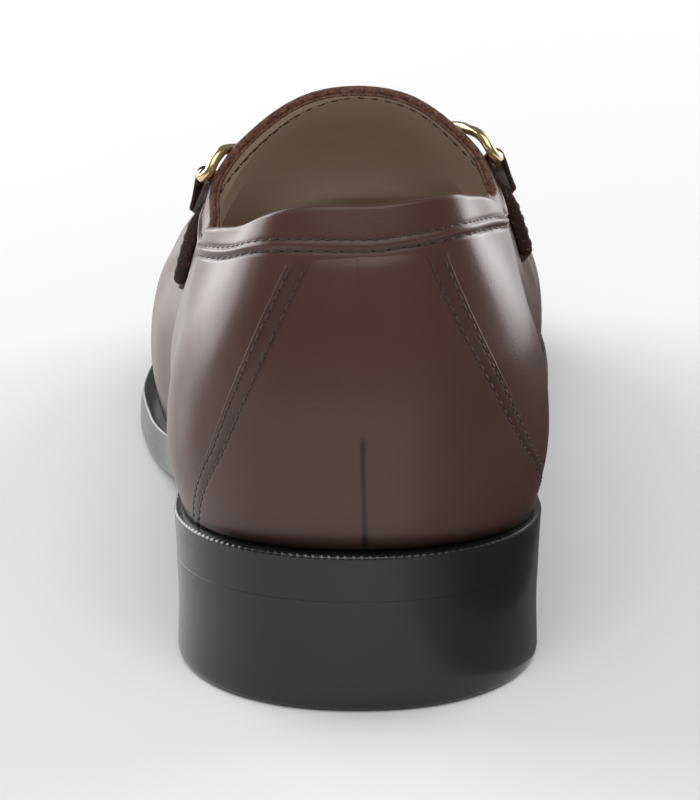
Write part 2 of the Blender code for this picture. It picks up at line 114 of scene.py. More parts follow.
BACK_SLIT = 0.26
BACK_SLIT_PLACE = (0.8, 1.2)
BACK_SLIT_DEPTH = 0.15
FOLD_END = 92.0
CUT_START = 106.0
THROAT_ROWS = {"leather": 3.2, "lining": 1.7}
THROAT_ROWS_START = 102.0

# Shares of a stitch's pitch that its thread and the hole between two threads take up
THREAD_SHARE = 0.72
HOLE_SHARE = 0.34

# Sizes of the straps and the gilt hardware, in mm
STRAP_WIDTH = 15.0
STRAP_GAP = 0.1
STRAP_THICKNESS = 1.0
TAB_THICKNESS = 2.6
STRAP_TURN = 1.5
STRAP_RETURN = 7.0
STRAP_FLAT_ROWS = 39
STRAP_STITCH_INSET = 1.8
BAR_RADIUS = 0.85
BEAD_RADIUS = 1.4
ARM_RADIUS = 1.0
BEAD_LENGTH = 1.8
RING_REACH = 13.0
RING_LEAN = 11.0
BIT_LIFT = 1.5
BIT_RADIUS = 1.2
BIT_KNOB_RADIUS = 1.5

# Straps: the heights of foot and turn, how far the rear edge lies ahead of the throat's middle, and how
# high the far end of the ring lies over the upper, in mm
Strap = namedtuple("Strap", "name side foot loop ahead lift")
STRAPS = (
    Strap("lateral", LATERAL, 44.8, 66.6, -8.0, 1.1),
    Strap("medial", MEDIAL, 50.7, 70.6, -8.0, 1.8),
)


def table(names, *rows):
    """Columns of a table by name."""
    return dict(zip(names.split(), np.array(rows, dtype=float).T))


# Outline of the outsole: half width, and how far its middle lies to the inner side
SOLE = table(
    "y half centre",
    (36, 32.9, -0.5),
    (62, 32.2, -1.2),
    (92, 31.4, -3.2),
    (122, 35.0, -4.0),
    (150, 40.75, -4.25),
    (170, 43.4, -4.0),
    (188, 43.9, -2.7),
    (228, 43.9, 0.3),
    (266, 43.9, 3.0),
)

# Sections of the upper: its widest line, how far it tucks in under that line on each side, the
# height of the line above the welt, the place and the backward lean of the instep ridge, and the
# power of the curve from the widest line up to the ridge on each side
UPPER = table(
    "y half centre tuck_lateral tuck_medial girth spine skew full_lateral full_medial",
    (36, 34.0, -0.5, 2.9, 2.8, 15.0, -0.5, 0.0, 1.8, 1.8),
    (62, 34.2, -1.0, 3.2, 3.8, 16.0, -0.5, 3.0, 1.55, 1.68),
    (92, 34.5, -2.0, 3.6, 6.0, 16.0, -0.5, 7.0, 1.55, 1.68),
    (122, 36.0, -0.6, 2.2, 4.6, 14.0, -0.3, 8.0, 2.1, 2.15),
    (150, 39.8, -3.2, 1.8, 2.2, 11.5, -0.6, 6.0, 2.15, 2.15),
    (170, 41.7, -3.1, 1.2, 1.2, 10.0, -0.3, 3.0, 2.25, 2.25),
    (188, 41.75, -2.15, 1.0, 1.0, 9.0, 0.2, 0.0, 2.35, 2.35),
    (228, 41.75, 0.4, 1.0, 1.0, 8.5, 0.2, 0.0, 2.35, 2.35),
    (263, 41.75, 2.9, 1.0, 1.0, 8.0, 0.2, 0.0, 2.35, 2.35),
)

# Height of the instep ridge; behind the throat it goes on as the cone that the collar is cut from
RIDGE = table(
    "y z",
    (0, 113.0),
    (36, 112.0),
    (62, 103.0),
    (92, 93.0),
    (114, 85.8),
    (122, 82.0),
    (150, 69.0),
    (170, 60.3),
    (188, 53.6),
    (212, 46.5),
    (238, 41.5),
    (263, 36.0),
)

# Height of the collar's rolled edge on the two sides, and of the seam under the collar
TOPLINE = table(
    "y lateral medial seam_lateral seam_medial",
    (0.9, 87.5, 87.5, 80.8, 80.8),
    (2, 87.2, 87.8, 80.7, 81.3),
    (4, 86.4, 88.0, 80.3, 81.6),
    (8, 84.6, 88.0, 79.3, 82.0),
    (14, 82.5, 87.4, 77.7, 81.9),
    (22, 80.6, 86.2, 76.0, 81.2),
    (36, 77.6, 82.9, 73.4, 78.7),
    (62, 71.2, 77.2, 66.6, 72.6),
    (86, 65.2, 71.9, 60.6, 66.9),
    (104, 61.1, 67.5, 56.5, 62.5),
    (122, 60.1, 66.1, 55.4, 61.1),
)

# How far the sides of the vamp fall in about the straps
HOLLOW = table(
    "y lateral medial",
    (106, 0.0, 0.0),
    (114, 0.1, 0.5),
    (123, 1.2, 1.6),
    (129, 2.1, 2.4),
    (138, 2.6, 3.0),
    (146, 2.5, 2.8),
    (172, 0.0, 0.0),
)

# How far the lip of the throat springs outwards, by the station's y
LIP = table(
    "y lateral medial",
    (0, 0.0, 0.0),
    (24, 0.0, 0.3),
    (96, 0.0, 0.3),
    (106, -0.7, 0.8),
    (109, 0.1, 0.75),
    (111, 1.3, 0.85),
    (113, 2.0, 1.1),
    (115, 1.85, 0.85),
    (117, 1.35, 0.5),
    (119, 0.95, 0.3),
    (122, 0.2, 0.2),
)

# Creases of the leather, from one station and w to another, with their lift and half width in mm, and
# how many millimetres one unit of u and one of w count for
Crease = namedtuple("Crease", "side start end lift half")
CREASE_U = 140.0
CREASE_W = 75.0
CREASES = (
    Crease(LATERAL, (0.35, 0.62), (1.25, 0.25), -1.3, 7.0),
    Crease(LATERAL, (0.20, 0.50), (0.75, 0.18), 0.7, 7.0),
    Crease(MEDIAL, (0.40, 0.62), (1.30, 0.28), -1.3, 7.0),
    Crease(LATERAL, (1.62, 0.62), (1.86, 0.30), -0.5, 4.0),
    Crease(MEDIAL, (1.64, 0.62), (1.90, 0.32), -0.5, 4.0),
    Crease(LATERAL, (1.78, 0.58), (1.98, 0.34), -0.4, 3.5),
    Crease(MEDIAL, (1.80, 0.60), (2.00, 0.36), -0.4, 3.5),
)

# Point that the studio's panels face, in metres
LIGHT_AIM = (0, 0, 0.04)

# Stations where the counter's slanted edges leave the collar seam and reach the welt, and the power
# that bows them
COUNTER_TOP = {LATERAL: 0.235, MEDIAL: 0.335}
COUNTER_BOTTOM = {LATERAL: 0.75, MEDIAL: 1.05}
COUNTER_BOW = {LATERAL: 1.03, MEDIAL: 1.4}


def along(rows, name, y):
    """Values of one column of a table at y, on a smooth curve that never overshoots its rows."""
    ys = rows["y"]
    vs = rows[name]
    steps = np.diff(vs) / np.diff(ys)
    before, after = steps[:-1], steps[1:]
    same_way = before * after > 0
    total = np.where(same_way, before + after, 1.0)
    inner = np.where(same_way, 2 * before * after / total, 0.0)
    slopes = np.concatenate((steps[:1], inner, steps[-1:]))
    y = np.clip(y, ys[0], ys[-1])
    i = np.clip(np.searchsorted(ys, y, "right") - 1, 0, len(ys) - 2)
    h = ys[i + 1] - ys[i]
    t = (y - ys[i]) / h
    start = slopes[i] * h * t * (1 - t) ** 2
    end = slopes[i + 1] * h * t * t * (1 - t)
    return vs[i] + (vs[i + 1] - vs[i]) * smooth(t) + start - end


def smooth(t):
    t = np.clip(t, 0.0, 1.0)
    return t * t * (3 - 2 * t)


def rise_between(value, ends):
    """A smooth rise from 0 at the first end to 1 at the second."""
    return smooth((value - ends[0]) / (ends[1] - ends[0]))


def bump(distance, half):
    """A soft rise of one that fades out about two halves away."""
    return np.exp(-((distance / half) ** 2))


def unit(vectors):
    return vectors / np.linalg.norm(vectors, axis=-1, keepdims=True)


def by_side(side, lateral, medial):
    return np.where(np.asarray(side) < 0, lateral, medial)


def along_side(rows, y, side, prefix=""):
    """Values at y of a table's pair of columns for the outer and the inner side."""
    return by_side(side, along(rows, prefix + "lateral", y), along(rows, prefix + "medial", y))


def seek(start, is_short):
    """Values from start to start + 1 below which a test of them holds."""
    low = start
    high = start + 1
    for _ in range(30):
        middle = (low + high) / 2
        short = is_short(middle)
        low = np.where(short, middle, low)
        high = np.where(short, high, middle)
    return (low + high) / 2


def path_travel(path):
    """How far each point of a path lies from its start, along it."""
    return np.concatenate(([0], np.cumsum(np.linalg.norm(np.diff(path, axis=0), axis=1))))


def late_steps(count):
    """Shares from 0 to 1, closer together towards 1."""
    return 1 - (1 - np.linspace(0, 1, count)) ** 1.5


def join_sides(halves):
    """Path and normals of the two sides joined into one that runs over the middle."""
    (path, ups), (other_path, other_ups) = halves
    return np.concatenate((path, other_path[-2::-1])), np.concatenate((ups, other_ups[-2::-1]))


def side_station(y):
    return 1 + (y - HEEL_CENTRE) / (TOE_CENTRE - HEEL_CENTRE)


def plan_point(rows, ends, u, side, inset=0.0):
    """Points of a plan outline at stations u, moved inwards by inset."""
    heel_end, toe_end = ends
    heel = np.clip(u, 0, 1) * HALF_TURN
    toe = (3 - np.clip(u, 2, 3)) * HALF_TURN
    across = np.sin(heel) ** HEEL_ROUND * np.sin(toe) ** TOE_ROUND
    y = HEEL_CENTRE + np.clip(u - 1, 0, 1) * (TOE_CENTRE - HEEL_CENTRE)
    y = y - (HEEL_CENTRE - heel_end - inset) * np.abs(np.cos(heel)) ** HEEL_ROUND
    y = y + (toe_end - inset - TOE_CENTRE) * np.abs(np.cos(toe)) ** TOE_ROUND
    half = along(rows, "half", y) - inset
    return np.stack((along(rows, "centre", y) + side * half * across, y), axis=-1)


def sole_underside(y):
    """Height of the outsole's underside: heel seat, arch, flat tread and toe spring."""
    slope = (HEEL_SEAT_BREAST - HEEL_SEAT_BACK) / HEEL_BREAST
    span = FLAT_START - HEEL_BREAST
    t = np.clip((y - HEEL_BREAST) / span, 0, 1)
    arch = HEEL_SEAT_BREAST * (1 - smooth(t)) + slope * span * t * (1 - t) ** 2
    spring = np.clip((y - FLAT_END) / (SOLE_LENGTH - FLAT_END), 0, None)
    return np.where(y <= HEEL_BREAST, HEEL_SEAT_BACK + slope * y, arch) + TOE_SPRING * spring ** 2


def welt_top(y):
    return sole_underside(y) + OUTSOLE_THICKNESS + GAP + WELT_THICKNESS


def sole_point(u, side, inset=0.0):
    return plan_point(SOLE, (0.0, SOLE_LENGTH), u, side, inset)


def girth_point(u, side, inset=0.0):
    return plan_point(UPPER, UPPER_ENDS, u, side, inset)


def tuck_at(y, u, side):
    """How far the upper tucks in at the welt; both sides share one value at the heel's back."""
    lateral = along(UPPER, "tuck_lateral", y)
    medial = along(UPPER, "tuck_medial", y)
    middle = (lateral + medial) / 2
    return middle + (by_side(side, lateral, medial) - middle) * smooth(u)


def hollow(y, side, w):
    """How far the sides of the vamp fall in, between the welt and the ridge."""
    depth = along_side(HOLLOW, y, side)
    return depth * rise_between(w, HOLLOW_FOOT) * (1 - rise_between(w, HOLLOW_TOP))


def form(u, side, w):
    """Points of the upper's outer form; past the heel's back, the toe's tip or the ridge they go on
    along the other side."""
    u, side, w = np.broadcast_arrays(u, side, w)
    side = np.where((u < 0) ^ (u > 3) ^ (w > 1), -side, side)
    u = np.where(u > 3, 6 - u, np.abs(u))
    w = np.where(w > 1, 2 - w, w)
    foot = girth_point(u, side)
    y = foot[..., 1]
    spine_y = HEEL_CENTRE + np.clip(u - 1, 0, 1) * (TOE_CENTRE - HEEL_CENTRE)
    lean = spine_y - along(UPPER, "skew", spine_y)
    spine = np.stack((along(UPPER, "spine", spine_y), lean), axis=-1)
    arm = foot - spine
    girth = along(UPPER, "girth", y)
    full = along_side(UPPER, y, side, "full_")
    rise = np.sin(np.clip((w - GIRTH_SHARE) / (1 - GIRTH_SHARE), 0, 1) * HALF_TURN) ** (2 / full)
    least = GIRTH_SOFTNESS ** full
    most = (1 + GIRTH_SOFTNESS ** 2) ** (full / 2) - least
    bulge = ((rise ** 2 + GIRTH_SOFTNESS ** 2) ** (full / 2) - least) / most
    t = np.clip(w / GIRTH_SHARE, 0, 1)
    tucked = 1 - tuck_at(y, u, side) * (1 - t) ** 2 / np.linalg.norm(arm, axis=-1)
    share = np.where(w <= GIRTH_SHARE, tucked, np.clip(1 - bulge, 0, 1) ** (1 / full))
    share = share - hollow(y, side, w) / np.linalg.norm(arm, axis=-1)
    plan = spine + arm * share[..., None]
    low = welt_top(y) + GAP + girth
    high = low + (along(RIDGE, "z", plan[..., 1]) - low) * rise
    z = np.where(w <= GIRTH_SHARE, welt_top(plan[..., 1]) + GAP + girth * t, high)
    return np.concatenate((plan, z[..., None]), axis=-1)


def normal(u, side, w):
    """Outward normals of the form; where the stations of the toe meet they share one normal."""
    step = 0.003
    near_ridge = 0.985
    level = np.minimum(w, near_ridge)
    u = np.where(np.asarray(w) > 1 - step, np.minimum(u, 2), u)
    ahead = form(u + step, side, level) - form(u - step, side, level)
    up = form(u, side, w + step) - form(u, side, np.maximum(w - step, 0))
    return unit(np.cross(up, ahead) * -np.asarray(side)[..., None])


def lifted(u, side, w, lift):
    u, side, w, lift = np.broadcast_arrays(u, side, w, lift)
    return form(u, side, w) + normal(u, side, w) * lift[..., None]


def pace(u, side, w):
    """Millimetres that the form climbs for one unit of w."""
    step = 0.01
    return np.linalg.norm(form(u, side, w + step) - form(u, side, w - step), axis=-1) / (2 * step)


def stride(u, side, w):
    """Millimetres that the form runs for one unit of u."""
    step = 0.01
    return np.linalg.norm(form(u + step, side, w) - form(u - step, side, w), axis=-1) / (2 * step)


def climb_to(u, side, height):
    """The w where the rib at a station passes a height."""
    return seek(np.zeros(np.shape(height)), lambda w: form(u, side, w)[..., 2] < height)


def throat_share(y):
    """How far a station has come along the throat's curve, from 0 at the collar to 1 at its top."""
    return np.clip((y - THROAT_CURVE_START) / (THROAT - THROAT_CURVE_START), 0, 1)


def seam_share(y):
    """How far the raised seam has changed from the collar's to the apron's."""
    return rise_between(y, SEAM_CURVE)


def edge_and_seam(u, side):
    """The w of the upper's top edge and of its raised seam: the collar's edge and the seam under it,
    and in front of the throat the ridge and the apron seam."""
    y = girth_point(u, side)[..., 1]
    t = throat_share(y)
    edge = climb_to(u, side, along_side(TOPLINE, y, side) - COLLAR_ROLL)
    seam = climb_to(u, side, along_side(TOPLINE, y, side, "seam_"))
    left = 1 - t ** THROAT_CURVE_POWER
    left = np.sqrt((left ** 2 + 2 * THROAT_ROUNDING * left) / (1 + 2 * THROAT_ROUNDING))
    return 1 - (1 - edge) * left, seam + (APRON_LINE - seam) * seam_share(y)


def flare(u, side, w):
    """How far the throat's lip springs outwards, in a band along its edge."""
    y = girth_point(u, side)[..., 1]
    spring = along_side(LIP, y, side) * (1 - smooth((y - THROAT) / LIP_FADE))
    return spring * smooth((w - edge_and_seam(u, side)[0] + LIP_BAND) / LIP_BAND)


def nip(u, side, w):
    """How far the collar draws in towards the ankle on its two sides."""
    y = girth_point(u, side)[..., 1]
    depth = by_side(side, NIP[LATERAL], NIP[MEDIAL])
    reach = rise_between(y, NIP_HEEL) * (1 - rise_between(y, NIP_THROAT))
    return depth * reach * rise_between(w, NIP_CLIMB)


def wall_lift(u, side, w):
    """Lift that leather and lining share over their form."""
    return crease_lift(u, side, w) + flare(u, side, w) - nip(u, side, w)


def seam_relief(distance, u, share):
    """Lift of the leather by its distance above the raised seam, from the collar's at share 0, a piped
    ridge between two sewn grooves that is flatter at the heel's back, to the apron's at share 1, a
    pinched ridge."""
    ridge = bpy.context.scene.loafer_sizes.collar_ridge / MM
    groove_above = 0.22 * bump(distance - STITCH_OFFSET, 0.36)
    groove_below = 0.42 * bump(distance + STITCH_OFFSET, 0.38)
    collar = ridge * bump(distance, 0.62) + 0.15 * smooth((distance + 0.5) / 1.6)
    collar = collar - groove_above - groove_below
    collar = collar * (0.35 + 0.65 * smooth((u - 0.1) / 0.5))
    pinch = 1.9
    apron = 0.7 * bump(distance, 0.95) - 0.22 * (bump(distance - pinch, 0.6) + bump(distance + pinch, 0.6))
    return collar * (1 - share) + apron * share


def collar_waves(u, side, w, seam, edge):
    """Slack of the soft collar band, gentle waves that die out at its seam."""
    least_band = 0.01
    share = np.clip((w - seam) / np.maximum(edge - seam, least_band), 0, 1)
    phase = by_side(side, WAVE_PHASES[LATERAL], WAVE_PHASES[MEDIAL])
    slack = WAVE_DEPTH * smooth(u * 3) * (1 - throat_share(girth_point(u, side)[..., 1]))
    return slack * share * np.sin(WAVE_RADIANS_PER_STATION * u + phase)


def crease_lift(u, side, w):
    """Depth of the listed creases, soft troughs and ridges between two points of a side."""
    total = np.zeros(np.broadcast_shapes(np.shape(u), np.shape(side), np.shape(w)))
    end_share = 0.3
    for crease in CREASES:
        start = np.array((crease.start[0] * CREASE_U, crease.start[1] * CREASE_W))
        run = np.array((crease.end[0] * CREASE_U, crease.end[1] * CREASE_W)) - start
        length = np.hypot(*run)
        ahead = run / length
        x = u * CREASE_U - start[0]
        y = w * CREASE_W - start[1]
        place = (x * ahead[0] + y * ahead[1]) / length
        across = x * ahead[1] - y * ahead[0]
        fade = smooth(place / end_share) * smooth((1 - place) / end_share)
        total = total + np.where(side == crease.side, crease.lift * bump(across, crease.half) * fade, 0)
    return total


def leather_lift(u, side, w):
    """Lift of the leather over its form, with the relief of its seams and the slack of its collar."""
    edge, seam = edge_and_seam(u, side)
    share = seam_share(girth_point(u, side)[..., 1])
    relief = seam_relief((w - seam) * pace(u, side, seam), u, share)
    return relief + collar_waves(u, side, w, seam, edge) + wall_lift(u, side, w)


def on_leather(u, side, w, over=0.0):
    """Points at a height over the leather's face."""
    return lifted(u, side, w, leather_lift(u, side, w) + over)


def on_lining(u, side, w):
    """Points of the lining's face, the thickness of the wall under the form."""
    return lifted(u, side, w, wall_lift(u, side, w) - WALL)


def painted_groove_shade(distance):
    """Painted shade: how far the leather darkens in the sewn groove under the collar seam."""
    return 0.35 * bump(distance + STITCH_OFFSET, 0.5)


def counter_edge(side, share):
    """Station of the counter's slanted edge at a share of its height."""
    bow = (1 - np.clip(share, 0, 1)) ** COUNTER_BOW[side]
    return COUNTER_TOP[side] + (COUNTER_BOTTOM[side] - COUNTER_TOP[side]) * bow


def to_frame(points):
    """From the drawing's millimetres to metres about the middle of the footprint."""
    return (points - np.array((FRAME_X, SOLE_LENGTH / 2, 0.0))) * MM


def sole_middle_x():
    u = np.linspace(1, 3, 201)
    return (sole_point(u, LATERAL)[:, 0].min() + sole_point(u, MEDIAL)[:, 0].max()) / 2


FRAME_X = sole_middle_x()


def grid_quads(rows, columns, start=0, wrap=False):
    """Corner numbers of the quads of a grid whose points are numbered row by row; wrap joins the last
    column to the first."""
    r, c = np.meshgrid(np.arange(rows - 1), np.arange(columns if wrap else columns - 1), indexing="ij")
    d = (c + 1) % columns
    quads = np.stack((r * columns + c, r * columns + d, (r + 1) * columns + d, (r + 1) * columns + c), -1)
    return quads.reshape(-1, 4) + start


def rim_quads(rows, columns, shift):
    """Quads that join the borders of two grids of one size, numbered shift apart."""
    index = np.arange(rows * columns).reshape(rows, columns)
    border = np.concatenate((index[0, :-1], index[:-1, -1], index[-1, :0:-1], index[:0:-1, 0]))
    following = np.roll(border, -1)
    return np.stack((border, following, following + shift, border + shift), -1)


class Mesh:
    """Points, faces and finishes of a piece while it is drawn."""

    def __init__(self):
        self.points = []
        self.faces = []
        self.finishes = []
        self.burnish = []
        self.count = 0

    def add_points(self, points, burnish=0.0):
        """Adds drawn points and gives the number of the first."""
        points = np.asarray(points).reshape(-1, 3)
        start = self.count
        self.points.append(points)
        self.burnish.append(np.broadcast_to(np.ravel(burnish), len(points)))
        self.count += len(points)
        return start

    def add_faces(self, faces, finish=0):
        faces = np.asarray(faces)
        self.faces += faces.tolist()
        self.finishes += np.broadcast_to(finish, len(faces)).tolist()

    def add_piece(self, name, materials, slot, nodes=(), weld=0.0, sharp=180.0):
        """Adds the piece to the scene: welded within so many millimetres, faces outwards, edges sharper
        than an angle kept sharp, riding on the shoe in place of its solids."""
        data = bpy.data.meshes.new(name)
        data.from_pydata(to_frame(np.concatenate(self.points)).tolist(), [], self.faces)
        data.polygons.foreach_set("material_index", self.finishes)
        # Share of edge dressing and of painted light mixed into the colour: painted shade on the leather,
        # painted glints on the welt
        shade = data.attributes.new("burnish", "FLOAT", "POINT")
        shade.data.foreach_set("value", np.concatenate(self.burnish).astype(np.float32))
        work = bmesh.new()
        work.from_mesh(data)
        if weld:
            bmesh.ops.remove_doubles(work, verts=work.verts, dist=weld * MM)
        bmesh.ops.recalc_face_normals(work, faces=work.faces)
        work.to_mesh(data)
        work.free()
        for material in materials:
            data.materials.append(material)
        data.shade_smooth()
        if sharp < 180:
            data.set_sharp_from_angle(angle=math.radians(sharp))
        piece = bpy.data.objects.new(name, data)
        bpy.context.scene.collection.objects.link(piece)
        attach(piece, "root")
        if nodes:
            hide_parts(*nodes)


def linear(colour):
    """Linear red, green and blue of an sRGB hex value."""
    shares = [int(colour[i:i + 2], 16) / 255 for i in (1, 3, 5)]
    return [s / 12.92 if s <= 0.04045 else ((s + 0.055) / 1.055) ** 2.4 for s in shares]


def add_node(tree, kind, settings=None, links=None):
    """Adds a node to a tree, sets its inputs or own settings and links its inputs to other outputs."""
    node = tree.nodes.new(kind)
    for key, value in (settings or {}).items():
        if isinstance(key, int) or key in node.inputs:
            node.inputs[key].default_value = value
        else:
            setattr(node, key, value)
    for key, output in (links or {}).items():
        tree.links.new(output, node.inputs[key])
    return node


def per_metre(millimetres):
    """Scale of a pattern whose features are so many millimetres wide."""
    return 1 / (millimetres * MM)


def new_material(name):
    """An empty material with a shader joined to its output and the place that patterns are drawn in."""
    material = bpy.data.materials.new(name)
    material.use_nodes = True
    tree = material.node_tree
    place = add_node(tree, "ShaderNodeTexCoord").outputs["Object"]
    return material, tree, tree.nodes["Principled BSDF"], place


def set_shader(shader, **values):
    for name, value in values.items():
        shader.inputs[name.replace("_", " ")].default_value = value


def box_calf():
    """Box calf, plated and polished: a tight fine grain under a clear finish, so broad soft bands of light
    run along it, and it is darker where the edge dressing of the sole has taken and where shade is painted:
    by the welt, in the sewn grooves and in the back slit."""
    colours = bpy.context.scene.loafer_colours
    material, tree, shader, place = new_material("box_calf_polished")
    tone = add_node(tree, "ShaderNodeTexNoise", {"Scale": per_metre(22), "Detail": 4.0}, {"Vector": place})
    tint = add_node(
        tree, "ShaderNodeMix",
        {"data_type": "RGBA", 6: (*colours.leather_dark, 1), 7: (*colours.leather, 1)},
        {0: tone.outputs["Fac"]},
    )
    # Edge dressing and painted shade, from the mesh's attribute
    painted_light_and_dressing_node = add_node(tree, "ShaderNodeAttribute", {"attribute_name": "burnish"})
    dark = add_node(
        tree, "ShaderNodeMix",
        {"data_type": "RGBA", 7: (*colours.dressing_and_painted_shade, 1)},
        {0: painted_light_and_dressing_node.outputs["Fac"], 6: tint.outputs[2]},
    )
    tree.links.new(dark.outputs[2], shader.inputs["Base Color"])
    # Real calf pores are about 0.15 mm apart; they are drawn coarser, at 0.45 mm, so that they show
    cells = add_node(
        tree, "ShaderNodeTexVoronoi",
        {"Scale": per_metre(0.45), "feature": "SMOOTH_F1", "Smoothness": 0.6},
        {"Vector": place},
    )
    fibre = add_node(
        tree, "ShaderNodeTexNoise", {"Scale": per_metre(1.6), "Detail": 5.0}, {"Vector": place}
    )
    grain = add_node(
        tree, "ShaderNodeMath", {"operation": "ADD"},
        {0: cells.outputs["Distance"], 1: fibre.outputs["Fac"]},
    )
    relief = add_node(
        tree, "ShaderNodeBump", {"Strength": 0.16, "Distance": 0.1 * MM}, {"Height": grain.outputs[0]}
    )
    tree.links.new(relief.outputs[0], shader.inputs["Normal"])
    patches = add_node(
        tree, "ShaderNodeTexNoise", {"Scale": per_metre(9), "Detail": 3.0}, {"Vector": place}
    )
    gloss = add_node(
        tree, "ShaderNodeMapRange", {"To Min": 0.31, "To Max": 0.42}, {"Value": patches.outputs["Fac"]}
    )
    tree.links.new(gloss.outputs[0], shader.inputs["Roughness"])
    set_shader(shader, IOR=1.46, Coat_Weight=0.2, Coat_Roughness=0.2, Coat_IOR=1.45)
    return material


def lining_leather():
    """Chrome-tanned pigskin lining, unfinished: matt, with a fine mottled nap."""
    colours = bpy.context.scene.loafer_colours
    material, tree, shader, place = new_material("pigskin_lining_matt")
    mottle = add_node(tree, "ShaderNodeTexNoise", {"Scale": per_metre(5), "Detail": 8.0}, {"Vector": place})
    tint = add_node(
        tree, "ShaderNodeMix",
        {"data_type": "RGBA", 6: (*colours.lining_dark, 1), 7: (*colours.lining, 1)},
        {0: mottle.outputs["Fac"]},
    )
    tree.links.new(tint.outputs[2], shader.inputs["Base Color"])
    nap = add_node(tree, "ShaderNodeTexNoise", {"Scale": per_metre(0.5), "Detail": 4.0}, {"Vector": place})
    relief = add_node(
        tree, "ShaderNodeBump", {"Strength": 0.25, "Distance": 0.12 * MM}, {"Height": nap.outputs["Fac"]}
    )
    tree.links.new(relief.outputs[0], shader.inputs["Normal"])
    set_shader(shader, Roughness=0.72, IOR=1.45, Sheen_Weight=0.12, Sheen_Roughness=0.5)
    return material


def cut_edge():
    """Cut leather edge, inked and waxed: fibrous, reddish brown with paler flecks where fibres show."""
    return fibrous_edge("leather_edge_inked", bpy.context.scene.loafer_colours.edge_ink, 0.42)


def strap_edge():
    """Cut edge of a strap, inked twice: nearly black, with few paler flecks."""
    return fibrous_edge("leather_edge_inked_twice", bpy.context.scene.loafer_colours.strap_ink, 0.56)


def fibrous_edge(name, ink, bare):
    """Material of a cut edge by its ink and by the height of the fibres that the ink leaves bare."""
    colours = bpy.context.scene.loafer_colours
    material, tree, shader, place = new_material(name)
    fibres = add_node(
        tree, "ShaderNodeTexNoise",
        {"Scale": per_metre(0.7), "Detail": 6.0, "Roughness": 0.7},
        {"Vector": place},
    )
    patch = add_node(
        tree, "ShaderNodeMapRange", {"From Min": bare, "From Max": 0.7}, {"Value": fibres.outputs["Fac"]}
    )
    tint = add_node(
        tree, "ShaderNodeMix",
        {"data_type": "RGBA", 6: (*ink, 1), 7: (*colours.edge_fibre, 1)},
        {0: patch.outputs[0]},
    )
    tree.links.new(tint.outputs[2], shader.inputs["Base Color"])
    relief = add_node(
        tree, "ShaderNodeBump", {"Strength": 0.6, "Distance": 0.2 * MM}, {"Height": fibres.outputs["Fac"]}
    )
    tree.links.new(relief.outputs[0], shader.inputs["Normal"])
    set_shader(shader, Roughness=0.5, IOR=1.48)
    return material


def bonded_thread():
    """Bonded nylon thread, waxed: twisted plies that catch small lights."""
    colours = bpy.context.scene.loafer_colours
    material, tree, shader, place = new_material("nylon_thread_bonded")
    shader.inputs["Base Color"].default_value = (*colours.thread, 1)
    plies = add_node(
        tree, "ShaderNodeTexWave",
        {"Scale": per_metre(0.5), "bands_direction": "DIAGONAL", "Distortion": 1.0},
        {"Vector": place},
    )
    relief = add_node(
        tree, "ShaderNodeBump", {"Strength": 0.5, "Distance": 0.1 * MM}, {"Height": plies.outputs["Fac"]}
    )
    tree.links.new(relief.outputs[0], shader.inputs["Normal"])
    set_shader(shader, Roughness=0.48, IOR=1.53, Sheen_Weight=0.1)
    return material


def stitch_hole_shade():
    """Needle holes, punched: a dark piece sunk in each hole, painted shade for its hollow."""
    colours = bpy.context.scene.loafer_colours
    material, tree, shader, place = new_material("needle_hole_punched")
    shader.inputs["Base Color"].default_value = (*colours.dressing_and_painted_shade, 1)
    flesh = add_node(tree, "ShaderNodeTexNoise", {"Scale": per_metre(0.4)}, {"Vector": place})
    relief = add_node(
        tree, "ShaderNodeBump", {"Strength": 0.4, "Distance": 0.1 * MM}, {"Height": flesh.outputs["Fac"]}
    )
    tree.links.new(relief.outputs[0], shader.inputs["Normal"])
    set_shader(shader, Roughness=0.8)
    return material


def sole_edge():
    """Rubber and leather edge, dyed black and ironed: satin, with faint lengthwise tool marks, and
    paler where glints are painted on the welt's wheel marks."""
    colours = bpy.context.scene.loafer_colours
    material, tree, shader, place = new_material("sole_edge_ironed")
    stretch = add_node(tree, "ShaderNodeMapping", {"Scale": (1, 1, 9)}, {"Vector": place})
    marks = add_node(
        tree, "ShaderNodeTexNoise", {"Scale": per_metre(9), "Detail": 6.0}, {"Vector": stretch.outputs[0]}
    )
    tint = add_node(
        tree, "ShaderNodeMix",
        {"data_type": "RGBA", 6: (*colours.sole_dark, 1), 7: (*colours.sole, 1)},
        {0: marks.outputs["Fac"]},
    )
    # Painted glints of the welt's wheel marks, from the mesh's attribute
    painted_glint = add_node(tree, "ShaderNodeAttribute", {"attribute_name": "burnish"})
    painted_light_and_dressing_node = add_node(
        tree, "ShaderNodeMix",
        {"data_type": "RGBA", 7: (*colours.sole_painted_glint, 1)},
        {0: painted_glint.outputs["Fac"], 6: tint.outputs[2]},
    )
    tree.links.new(painted_light_and_dressing_node.outputs[2], shader.inputs["Base Color"])
    relief = add_node(
        tree, "ShaderNodeBump", {"Strength": 0.12, "Distance": 0.12 * MM}, {"Height": marks.outputs["Fac"]}
    )
    tree.links.new(relief.outputs[0], shader.inputs["Normal"])
    gloss = add_node(
        tree, "ShaderNodeMapRange", {"To Min": 0.17, "To Max": 0.3}, {"Value": marks.outputs["Fac"]}
    )
    tree.links.new(gloss.outputs[0], shader.inputs["Roughness"])
    set_shader(shader, IOR=1.5, Coat_Weight=0.2, Coat_Roughness=0.16)
    return material


